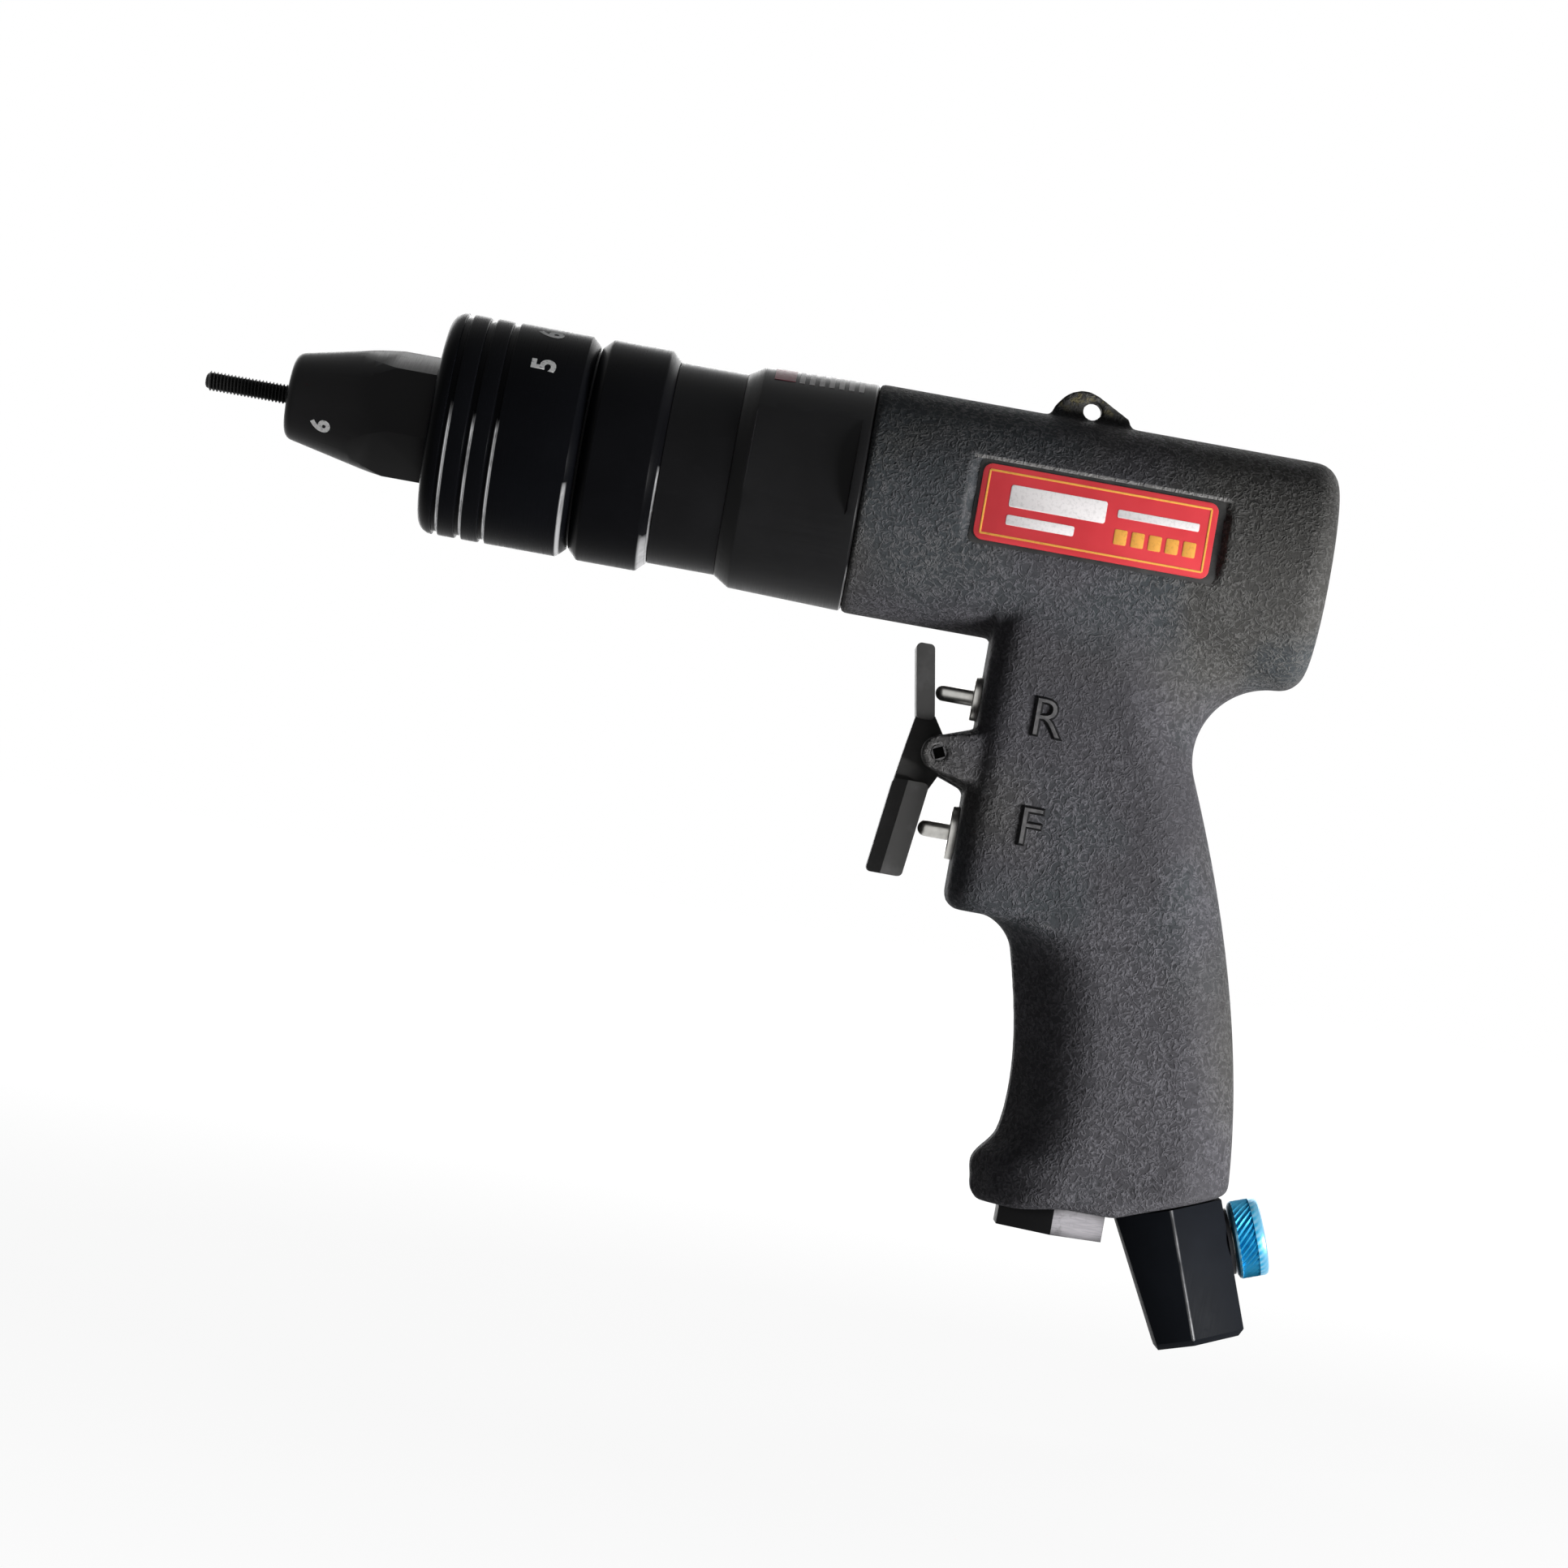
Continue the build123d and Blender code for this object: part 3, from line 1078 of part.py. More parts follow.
# Inlet nipple, screwed into the grip at one end and into the regulator at the other, with its screen
regulator_plane = inlet_plane.offset(GASKET_THICKNESS)
with BuildPart() as inlet_nipple:
    rod(inlet_plane.offset(-NIPPLE_IN), INLET_THREAD_RADIUS, NIPPLE_IN + GASKET_THICKNESS + NIPPLE_OUT)
    rod(inlet_plane.offset(-NIPPLE_IN), NIPPLE_BORE, NIPPLE_IN + GASKET_THICKNESS + NIPPLE_OUT, Mode.SUBTRACT)
save(inlet_nipple, "inlet_nipple")
with BuildPart() as inlet_screen:
    rod(inlet_plane.offset(-NIPPLE_IN), INLET_THREAD_RADIUS - SEAT_FIT, -SCREEN_THICKNESS)
    with BuildSketch(inlet_plane.offset(-NIPPLE_IN)):
        with HexLocations(SCREEN_PITCH / 2, SCREEN_ROWS, SCREEN_ROWS):
            Circle(SCREEN_HOLE_RADIUS)
    extrude(amount=-SCREEN_THICKNESS, mode=Mode.SUBTRACT)
save(inlet_screen, "inlet_screen")
with BuildPart() as inlet_gasket:
    rod(inlet_plane, INLET_THREAD_RADIUS + GASKET_WIDTH, GASKET_THICKNESS)
    rod(inlet_plane, INLET_THREAD_RADIUS + SEAT_FIT, GASKET_THICKNESS, Mode.SUBTRACT)
save(inlet_gasket, "inlet_gasket")

# Regulator body: a hexagon bar with the air passage along it and the throttle's bore across it
knob_plane = Plane(
    origin=inlet_plane.from_local_coords((REGULATOR_FLATS / 2, 0, KNOB_DROP)),
    x_dir=(0, 1, 0),
    z_dir=inlet_plane.x_dir,
)
throttle_depth = REGULATOR_FLATS / 2 + REGULATOR_BORE
seal_outer = THROTTLE_RADIUS + SEAL_DEPTH
with BuildPart() as regulator_body:
    hexagon(REGULATOR_FLATS, regulator_plane, REGULATOR_LENGTH, turned=FLAT_FORWARD)
    regulator_end = regulator_body.faces().sort_by(Axis(inlet_plane.origin, inlet_plane.z_dir))[-1]
    chamfer(regulator_end.edges(), REGULATOR_END_CHAMFER)
    regulator_side = Plane(regulator_plane.origin, x_dir=inlet_plane.x_dir, z_dir=(0, -1, 0))
    with BuildSketch(regulator_side.offset(-REGULATOR_FLATS)):
        with BuildLine():
            Polyline(
                (-REGULATOR_FLATS / 2, 0),
                (REGULATOR_RELIEF - REGULATOR_FLATS / 2, -REGULATOR_LENGTH),
                (-REGULATOR_FLATS / 2, -REGULATOR_LENGTH),
                close=True,
            )
        make_face()
    extrude(amount=2 * REGULATOR_FLATS, mode=Mode.SUBTRACT)
    rod(regulator_plane, INLET_THREAD_RADIUS + SEAT_FIT, NIPPLE_OUT + SEAT_FIT, Mode.SUBTRACT)
    rod(regulator_plane, REGULATOR_BORE, REGULATOR_LENGTH, Mode.SUBTRACT)
    rod(regulator_plane.offset(REGULATOR_LENGTH), PORT_THREAD_RADIUS, -PORT_THREAD_LENGTH, Mode.SUBTRACT)
    with Locations(regulator_plane.offset(REGULATOR_LENGTH - PORT_THREAD_LENGTH)):
        Cone(
            REGULATOR_BORE,
            PORT_THREAD_RADIUS,
            PORT_POINT_LENGTH,
            align=(Align.CENTER, Align.CENTER, Align.MAX),
            mode=Mode.SUBTRACT,
        )
    rod(knob_plane, THROTTLE_RADIUS + RUNNING_FIT, -throttle_depth, Mode.SUBTRACT)
    rod(knob_plane.offset(-THROTTLE_SEAL_PLACE), seal_outer, SEAL_WIDTH, Mode.SUBTRACT)
save(regulator_body, "regulator_body")

# Throttle spindle with its cross hole, its seal, and the washer under the knob
knob_foot = KNOB_WASHER_THICKNESS + SIDE_ROOM
with BuildPart() as regulator_spindle:
    spindle_length = throttle_depth - SIDE_ROOM + knob_foot + KNOB_SEAT_DEPTH
    rod(knob_plane.offset(SIDE_ROOM - throttle_depth), THROTTLE_RADIUS, spindle_length)
    rod(inlet_plane, THROTTLE_HOLE_RADIUS, 2 * KNOB_DROP, Mode.SUBTRACT)
    spindle_end = knob_plane.offset(knob_foot + KNOB_SEAT_DEPTH)
    rod(spindle_end, KNOB_SCREW_RADIUS + SEAT_FIT, -KNOB_SCREW_LENGTH, Mode.SUBTRACT)
save(regulator_spindle, "regulator_spindle")
with BuildPart() as regulator_seal:
    rod(knob_plane.offset(-THROTTLE_SEAL_PLACE), seal_outer, SEAL_WIDTH)
    rod(knob_plane.offset(-THROTTLE_SEAL_PLACE), THROTTLE_RADIUS + RUNNING_FIT, SEAL_WIDTH, Mode.SUBTRACT)
save(regulator_seal, "regulator_seal")
with BuildPart() as regulator_washer:
    rod(knob_plane, KNOB_WASHER_RADIUS, KNOB_WASHER_THICKNESS)
    rod(knob_plane, THROTTLE_RADIUS + RUNNING_FIT, KNOB_WASHER_THICKNESS, Mode.SUBTRACT)
save(regulator_washer, "regulator_washer")

# Regulator knob, held on the spindle by a screw sunk in its face
knob_face = knob_plane.offset(knob_foot + KNOB_THICKNESS)
screw_sink = KNOB_SCREW_HEAD + SIDE_ROOM
with BuildPart() as regulator_knob:
    rod(knob_plane.offset(knob_foot), KNOB_RADIUS, KNOB_THICKNESS)
    fillet(regulator_knob.edges().filter_by(GeomType.CIRCLE), KNOB_ROUND)
    rod(knob_plane.offset(knob_foot), THROTTLE_RADIUS + SEAT_FIT, KNOB_SEAT_DEPTH, Mode.SUBTRACT)
    rod(knob_face, KNOB_SCREW_RADIUS + SEAT_FIT, -KNOB_THICKNESS, Mode.SUBTRACT)
    rod(knob_face, KNOB_SCREW_HEAD_RADIUS + SIDE_ROOM, -screw_sink, Mode.SUBTRACT)
save(regulator_knob, "regulator_knob")
with BuildPart() as knob_screw:
    rod(knob_face.offset(-screw_sink), KNOB_SCREW_HEAD_RADIUS, KNOB_SCREW_HEAD)
    hexagon(KNOB_SCREW_SOCKET, knob_face.offset(-SIDE_ROOM), -KNOB_SCREW_HEAD / 2, mode=Mode.SUBTRACT)
    rod(knob_face.offset(-screw_sink), KNOB_SCREW_RADIUS, -KNOB_SCREW_LENGTH)
save(knob_screw, "knob_screw")
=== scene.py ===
import math

import bpy
from mathutils import Matrix, Vector


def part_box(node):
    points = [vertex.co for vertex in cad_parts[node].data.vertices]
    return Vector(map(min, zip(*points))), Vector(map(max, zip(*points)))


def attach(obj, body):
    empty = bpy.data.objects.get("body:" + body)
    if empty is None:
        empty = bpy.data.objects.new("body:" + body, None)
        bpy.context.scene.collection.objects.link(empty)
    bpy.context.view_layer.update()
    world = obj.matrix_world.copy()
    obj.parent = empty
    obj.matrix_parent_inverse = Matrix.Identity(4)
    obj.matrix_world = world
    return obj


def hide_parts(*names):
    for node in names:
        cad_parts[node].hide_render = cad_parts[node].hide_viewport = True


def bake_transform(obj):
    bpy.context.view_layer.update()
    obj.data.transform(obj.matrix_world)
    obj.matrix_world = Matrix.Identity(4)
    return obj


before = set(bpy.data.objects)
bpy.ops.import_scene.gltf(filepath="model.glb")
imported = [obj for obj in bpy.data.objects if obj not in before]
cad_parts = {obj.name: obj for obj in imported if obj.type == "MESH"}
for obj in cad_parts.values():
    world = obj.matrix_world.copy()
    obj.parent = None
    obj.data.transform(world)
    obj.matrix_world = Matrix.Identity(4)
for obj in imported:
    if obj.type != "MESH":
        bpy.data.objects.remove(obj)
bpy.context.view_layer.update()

# Motor housing: one aluminium casting that carries the motor barrel, the pistol handle, the trigger's ears
# and the hanger lug. It is sprayed with charcoal wrinkle paint, which softens every cast edge. The two
# direction marks beside the trigger are cast in relief and take a charcoal paint whose chamfers are painted
# near black as painted shade.

# Lengths are named in millimetres, and MM brings them to the scene's metres.
MM = 0.001
WELD = 0.002 * MM
CASTING_GRAIN = 0.68
CASTING_SHARE = 0.66
LETTER_HEIGHT = 7.9
LETTER_PROUD = 0.7
LETTER_THICKNESS = 2.4 * LETTER_PROUD
LETTER_SINK = 0.2 * LETTER_PROUD
LETTER_CHAMFER = 0.4
LETTER_WEIGHT = 0.05
LETTER_PLACES = {"R": (158.6, -37.5), "F": (159.0, -59.0)}
CAPITAL_SHARE = 0.73
RIM_ABOVE = 1.05
RIM_PAST = 1.9
EAR_FACE = 8.4
EAR_ROOT = 145.4
EAR_BUILD = 6.2
EAR_BURIED = 7
FACE_TOLERANCE = 0.02
GRIP_TOP = -72.0
GRIP_FADE = 14
GRIP_ROUND = 12
GRIP_FLAT = 4
GRIP_HALF = 16
GRIP_NARROWS = 17.0
GRIP_CURVE = 0.044
FRONT_REACH = 18
FRONT_FADE = 12
LOBE = -124.0
LOBE_HALF = 3.2
LOBE_OUT = 2.6
LOBE_DOWN = 1.7
LOBE_SHOULDER = 3.5
LOBE_FADE = 9


class Shade:
    """A value in a material. Sums and products of it add the nodes that work them out."""

    def __init__(self, tree, socket=None):
        self.tree = tree
        self.socket = socket

    def node(self, kind, settings=None, inputs=None, output=0):
        """Any node: its settings come first, then the values and links of its sockets."""
        made = self.tree.nodes.new("ShaderNode" + kind)
        for name, value in (settings or {}).items():
            setattr(made, name, value)
        for name, value in (inputs or {}).items():
            if isinstance(value, Shade):
                self.tree.links.new(value.socket, made.inputs[name])
            else:
                made.inputs[name].default_value = value
        return Shade(self.tree, made.outputs[output] if made.outputs else None)

    def out(self, name):
        """Another output of the node that this value comes from."""
        return Shade(self.tree, self.socket.node.outputs[name])

    def maths(self, operation, first, second=0.0):
        return self.node("Math", {"operation": operation}, {0: first, 1: second})

    def __add__(self, other):
        return self.maths("ADD", self, other)

    __radd__ = __add__

    def __sub__(self, other):
        return self.maths("SUBTRACT", self, other)

    def __rsub__(self, other):
        return self.maths("SUBTRACT", other, self)

    def __mul__(self, other):
        return self.maths("MULTIPLY", self, other)

    __rmul__ = __mul__

    def __abs__(self):
        return self.maths("ABSOLUTE", self)

    def noise(self, scale, detail=2.0, roughness=0.5, distortion=0.0):
        """Noise on this place, with a scale in features a metre."""
        values = {"Vector": self, "Scale": scale, "Detail": detail}
        values |= {"Roughness": roughness, "Distortion": distortion}
        return self.node("TexNoise", inputs=values)

    def stretch(self, x, y, z):
        """This place with each axis scaled, to draw a pattern out along one of them."""
        return self.node("Mapping", inputs={"Vector": self, "Scale": (x, y, z)})

    def span(self, low, high, start=0.0, end=1.0):
        """This value from low to high, carried over to start to end."""
        values = {"Value": self, "From Min": low, "From Max": high, "To Min": start, "To Max": end}
        return self.node("MapRange", inputs=values)

    def blend(self, first, second):
        """Two colours, mixed by this value."""
        ends = {6: first, 7: second}
        for name, value in ends.items():
            if not isinstance(value, Shade):
                ends[name] = (*value, 1.0)
        return self.node("Mix", {"data_type": "RGBA"}, {0: self, **ends}, 2)

    def bump(self, strength, distance):
        """A normal from this height. The distance is in millimetres."""
        values = {"Strength": strength, "Distance": distance * MM, "Height": self}
        return self.node("Bump", inputs=values)


def new_finish(name):
    """A bare material, and the place on the piece that its patterns start from."""
    finish = bpy.data.materials.new(name)
    finish.use_nodes = True
    finish.node_tree.nodes.clear()
    return finish, Shade(finish.node_tree).node("TexCoord", output="Object")


def surface(place, **values):
    """Ends a material: a principled surface with these values, named with _ for a space."""
    sockets = {name.replace("_", " "): value for name, value in values.items()}
    for name, value in sockets.items():
        if name == "Base Color" and not isinstance(value, Shade):
            sockets[name] = (*value, 1.0)
    shader = place.node("BsdfPrincipled", inputs=sockets)
    place.node("OutputMaterial", inputs={"Surface": shader})


def wrinkle_paint():
    """Pale worm-like folds about a millimetre apart on darker ground, with slow shifts of grey. A pale line
    is painted along the rim above the name plate's recess as a painted highlight, and the hanger lug is
    stained."""
    finish, place = new_finish("charcoal wrinkle paint")
    folds = place.noise(640, 2.0, 0.6, 0.7)
    worm = abs(folds * 2 - 1).span(0.0, 0.2, 1.0, 0.0) * place.noise(1500, 2.0).span(0.34, 0.6, 0.25, 1.0)
    grain = place.noise(2300, 2.0)
    pits = place.noise(900, 2.0, 0.5, 0.4).span(0.28, 0.44, 0.5, 1.0)
    warm = place.noise(15, 2.0).span(0.42, 0.56)
    cool = place.noise(24, 2.0, 0.5, 0.4).span(0.52, 0.64)
    ground = warm.blend((0.052, 0.051, 0.056), (0.05, 0.049, 0.047))
    ground = cool.blend(ground, (0.046, 0.051, 0.055))
    crest = warm.blend((0.132, 0.129, 0.142), (0.13, 0.128, 0.125))
    ground = pits.blend((0.02, 0.02, 0.021), ground)
    colour = (worm * place.noise(48, 2.0).span(0.36, 0.6, 0.4, 0.85)).blend(ground, crest)
    # Convex edges are painted paler, partly worn paint and partly a painted highlight along them.
    edge = place.node("NewGeometry", output="Pointiness").span(0.515, 0.56)
    colour = (edge * place.noise(480, 3.0).span(0.35, 0.6) * 0.35).blend(colour, (0.2, 0.195, 0.19))
    up = place.node("SeparateXYZ", inputs={"Vector": place}, output="Z")
    # Painted highlight: a pale line along the rim above the name plate's recess, where the low lamp catches
    # its upper wall.
    plate_low, plate_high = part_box("name_plate")
    rim_height = plate_high.z + RIM_ABOVE * MM
    rim_middle = (plate_low.x + plate_high.x) / 2
    rim_end = (plate_high.x - plate_low.x) / 2 + RIM_PAST * MM
    at_height = abs(up - rim_height).span(0.25 * MM, 0.45 * MM, 1.0, 0.0)
    along_plate = abs(up.out("X") - rim_middle).span(rim_end, rim_end + 0.5 * MM, 1.0, 0.0)
    near_side = up.out("Y").span(-2 * MM, -1 * MM, 1.0, 0.0)
    rim = at_height * along_plate * near_side * place.noise(700, 3.0).span(0.3, 0.5, 0.35, 0.85)
    colour = rim.blend(colour, (0.25, 0.245, 0.24))
    high = up.span(23.5 * MM, 26 * MM)
    stain = place.noise(620, 3.0, 0.6).span(0.52, 0.62)
    colour = (high * stain * 0.75).blend(colour, (0.16, 0.14, 0.075))
    surface(
        place,
        Base_Color=colour,
        Roughness=worm.span(0.0, 1.0, 0.66, 0.5),
        Specular_IOR_Level=0.02,
        Normal=(worm * 0.8 + pits * 0.6 + grain * 0.25).bump(0.7, 0.3),
    )
    return finish


def mark_paint():
    """The relief's chamfers are painted near black as painted shade along the letters' sides, and its face is
    worn paler.
    """
    finish, place = new_finish("charcoal paint on the marks")
    out = {0: place.node("NewGeometry", output="Normal"), 1: (0, -1, 0)}
    face = place.node("VectorMath", {"operation": "DOT_PRODUCT"}, out, "Value").span(0.8, 0.95)
    grain = place.noise(900, 3.0)
    top = grain.span(0.35, 0.65).blend((0.06, 0.059, 0.061), (0.115, 0.113, 0.115))
    surface(
        place,
        Base_Color=face.blend((0.006, 0.006, 0.0065), top),
        Roughness=grain.span(0.3, 0.7, 0.55, 0.68),
        Specular_IOR_Level=0.08,
        Normal=grain.bump(0.3, 0.1),
    )
    return finish


def only(piece):
    """Selects one piece and makes it the active one."""
    bpy.ops.object.select_all(action="DESELECT")
    piece.select_set(True)
    bpy.context.view_layer.objects.active = piece


def copy_of(node, name):
    """A merged copy of a CAD node, with its flat faces made whole, to be worked on."""
    piece = bpy.data.objects.new(name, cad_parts[node].data.copy())
    bpy.context.scene.collection.objects.link(piece)
    only(piece)
    bpy.ops.object.mode_set(mode="EDIT")
    bpy.ops.mesh.select_all(action="SELECT")
    bpy.ops.mesh.customdata_custom_splitnormals_clear()
    bpy.ops.mesh.remove_doubles(threshold=WELD)
    bpy.ops.mesh.dissolve_limited(angle_limit=math.radians(0.3))
    bpy.ops.object.mode_set(mode="OBJECT")
    return piece


def apply(piece, kind, **settings):
    """Adds a modifier with these settings to a piece and applies it."""
    only(piece)
    modifier = piece.modifiers.new(kind.lower(), kind)
    for name, value in settings.items():
        setattr(modifier, name, value)
    bpy.ops.object.modifier_apply(modifier=modifier.name)


def smooth(piece, angle=35):
    """Shades a piece smooth, apart from edges sharper than the angle."""
    only(piece)
    bpy.ops.object.shade_smooth_by_angle(angle=math.radians(angle))


def fit(piece, finish, body, slot, *nodes):
    """A finished piece gets its material, rides on its body and stands for its CAD nodes."""
    piece.data.materials.clear()
    piece.data.materials.append(finish)
    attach(piece, body)
    if nodes:
        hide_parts(*nodes)


def lettering(name, text, height, thickness, weight=0.0, chamfer=0.0):
    """A character as a flat mesh on the origin, facing +Z, with half its thickness above the plane."""
    bpy.ops.object.select_all(action="DESELECT")
    bpy.ops.object.text_add()
    piece = bpy.context.object
    piece.name = name
    piece.data.body = text
    piece.data.size = height * MM / CAPITAL_SHARE
    piece.data.align_x = "CENTER"
    piece.data.align_y = "CENTER"
    piece.data.extrude = (thickness / 2 - chamfer) * MM
    piece.data.bevel_depth = chamfer * MM
    piece.data.bevel_resolution = 0
    piece.data.offset = (weight - chamfer / 2) * MM
    piece.data.resolution_u = 4
    only(piece)
    bpy.ops.object.convert(target="MESH")
    bpy.ops.object.mode_set(mode="EDIT")
    bpy.ops.mesh.select_all(action="SELECT")
    bpy.ops.mesh.remove_doubles(threshold=WELD)
    bpy.ops.object.mode_set(mode="OBJECT")
    return bpy.context.object


def place_by(piece, matrix):
    """Moves a piece to its place and leaves the place in its mesh."""
    piece.data.transform(matrix)
    piece.data.update()


def join(name, pieces):
    """One piece from several, under a new name."""
    only(pieces[0])
    for piece in pieces:
        piece.select_set(True)
    bpy.ops.object.join()
    bpy.context.object.name = name
    return bpy.context.object


def ease(value):
    """A smooth step from nought to one."""
    value = min(max(value, 0), 1)
    return value * value * (3 - 2 * value)


# The ears are built outwards, and the feet of what is added run on into the handle.
casting = copy_of("motor_housing", "housing_casting")
for side in (-1, 1):
    bpy.ops.object.mode_set(mode="EDIT")
    bpy.ops.mesh.select_mode(type="FACE")
    bpy.ops.mesh.select_all(action="DESELECT")
    bpy.ops.object.mode_set(mode="OBJECT")
    for face in casting.data.polygons:
        off_face = abs(face.center.y - side * EAR_FACE * MM)
        on_ear = face.center.x < EAR_ROOT * MM and off_face < FACE_TOLERANCE * MM
        face.select = on_ear and face.normal.y * side > 0.99
    bpy.ops.object.mode_set(mode="EDIT")
    bpy.ops.mesh.extrude_region_move(TRANSFORM_OT_translate={"value": (0, side * EAR_BUILD * MM, 0)})
    bpy.ops.object.mode_set(mode="OBJECT")
    for point in casting.data.vertices:
        if point.select and point.co.x > EAR_ROOT * MM:
            point.co.x += EAR_BURIED * MM
apply(casting, "REMESH", mode="VOXEL", voxel_size=CASTING_GRAIN * MM)
apply(casting, "SMOOTH", factor=0.5, iterations=3)
fronts = {}
for point in casting.data.vertices:
    level = round(point.co.z / MM)
    fronts[level] = min(fronts.get(level, math.inf), point.co.x / MM)

# The grip's section is drawn in towards its front like the small end of an egg, and the lobe at its foot is
# brought forwards and down.
for point in casting.data.vertices:
    x, y, z = point.co / MM
    if z > GRIP_TOP:
        continue
    level = math.floor(z)
    above = fronts[level + 1]
    below = fronts.get(level, above)
    behind = x - below - (z - level) * (above - below)
    into_round = min(max(GRIP_ROUND - behind, 0), GRIP_ROUND)
    cast = GRIP_FLAT + math.sqrt(GRIP_ROUND**2 - into_round**2)
    slim = GRIP_HALF - GRIP_CURVE * max(GRIP_NARROWS - behind, 0) ** 2
    y *= 1 - ease((GRIP_TOP - z) / GRIP_FADE) * (1 - min(slim / cast, 1))
    near_front = ease((FRONT_REACH - behind) / FRONT_FADE)
    x -= LOBE_OUT * near_front * math.exp(-(((z - LOBE) / LOBE_HALF) ** 2))
    z -= LOBE_DOWN * near_front * ease((LOBE + LOBE_SHOULDER - z) / LOBE_FADE)
    point.co = Vector((x, y, z)) * MM
apply(casting, "DECIMATE", ratio=CASTING_SHARE)
only(casting)
bpy.ops.object.shade_smooth()
fit(casting, wrinkle_paint(), "housing", "housing_paint", "motor_housing")
bpy.context.view_layer.update()
letters = []
for mark, (mark_x, mark_z) in LETTER_PLACES.items():
    _, face, _, _ = casting.ray_cast((mark_x * MM, -0.1, mark_z * MM), (0, 1, 0))
    letter = lettering("mark", mark, LETTER_HEIGHT, LETTER_THICKNESS, LETTER_WEIGHT, LETTER_CHAMFER)
    mark_place = Matrix.Translation((mark_x * MM, face.y + LETTER_SINK * MM, mark_z * MM))
    place_by(letter, mark_place @ Matrix.Rotation(math.pi / 2, 4, "X"))
    letters.append(letter)
marks = join("housing_marks", letters)
smooth(marks, 20)
fit(marks, mark_paint(), "housing", "housing_paint")

# Vane motor: a turned cylinder between two end plates, with the slotted rotor, its resin vanes and its two
# ball bearings. It slides into the barrel as one unit, held from turning by a dowel and clamped by the gear
# case against a spring washer.


def dress(finish, *names):
    """Gives CAD nodes that keep their shape a finish."""
    for name in names:
        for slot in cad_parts[name].material_slots:
            slot.material = finish


def ground_steel(name, colour, rough, along=(1, 40, 40)):
    """Steel with fine grinding lines across the drive axis and a thin uneven film of oil."""
    finish, place = new_finish(name)
    lines = place.stretch(*along).noise(420, 3.0, 0.6)
    film = place.noise(120, 3.0).span(0.52, 0.72)
    dark = tuple(0.86 * value for value in colour)
    bare = place.noise(900, 2.0).span(0.3, 0.7).blend(dark, colour)
    surface(
        place,
        Base_Color=(film * 0.3).blend(bare, (0.09, 0.07, 0.05)),
        Metallic=1.0,
        Roughness=lines.span(0.3, 0.7, rough - 0.08, rough + 0.1),
        Normal=lines.bump(0.12, 0.05),
    )
    return finish


motor_metal = ground_steel("turned motor aluminium", (0.62, 0.62, 0.63), 0.38)
gear_metal = ground_steel("hardened gear steel", (0.36, 0.35, 0.34), 0.34)
bearing_metal = ground_steel("polished bearing steel", (0.58, 0.58, 0.58), 0.16)
dress(motor_metal, "motor_cylinder", "front_end_plate", "rear_end_plate")
dress(gear_metal, "rotor", "motor_dowel")
for bearing in ("front_bearing", "rear_bearing"):
    for ring in ("outer_race", "inner_race", "balls"):
        dress(bearing_metal, f"{bearing}_{ring}")


def vane_resin():
    finish, place = new_finish("laminated vane resin")
    layers = place.stretch(1, 900, 900).noise(2.2, 2.0)
    weave = place.noise(2200, 2.0)
    colour = layers.span(0.35, 0.65).blend((0.13, 0.06, 0.02), (0.26, 0.14, 0.06))
    surface(
        place,
        Base_Color=colour,
        Roughness=weave.span(0.3, 0.7, 0.45, 0.6),
        Normal=weave.bump(0.2, 0.05),
    )
    return finish


def seal_rubber():
    finish, place = new_finish("black seal rubber")
    bloom = place.noise(300, 3.0).span(0.4, 0.75)
    grain = place.noise(2600, 2.0)
    surface(
        place,
        Base_Color=bloom.blend((0.012, 0.012, 0.012), (0.035, 0.034, 0.033)),
        Roughness=grain.span(0.3, 0.7, 0.5, 0.72),
        Specular_IOR_Level=0.3,
        Normal=grain.bump(0.25, 0.05),
    )
    return finish


spring_metal = ground_steel("oiled spring steel", (0.3, 0.29, 0.28), 0.3, (25, 25, 25))
rubber = seal_rubber()
dress(vane_resin(), "rotor_vanes")
dress(spring_metal, "motor_washer")

# Planetary gear: the rotor's pinion drives three planets inside the ring gear, and their carrier is one piece
# with the shaft to the clutch. The gears are cut from alloy steel, hardened and run in grease.
dress(gear_metal, "ring_gear", "planet_carrier", "planet_gear_1", "planet_gear_2", "planet_gear_3")
dress(bearing_metal, "planet_pins", "spindle_bearing_balls")
dress(bearing_metal, "spindle_bearing_outer_race", "spindle_bearing_inner_race")

# Clutch and thrust bearing: a cam and six balls, pressed together by a coil spring, drive the sleeve that
# holds the mandrel's head. Two plain races with balls between them take the pull.
dress(gear_metal, "clutch_cam", "drive_sleeve", "spring_seat")
dress(bearing_metal, "clutch_balls", "thrust_balls", "thrust_front_race", "thrust_rear_race")
dress(spring_metal, "clutch_spring")

# Gear case and clutch housing: turned from steel and blackened in hot salts. The gear case has a spanner flat
# on each side and screws into the barrel, and the clutch housing screws into the gear case, so that only its
# neck shows behind the rings.
CASE_FRONT = 89.05
CASE_REAR = 115.05
HIGHLIT_EDGE_CORE = 0.4
HIGHLIT_EDGE_WAVER = 12
HIGHLIT_EDGE_FADE = 4


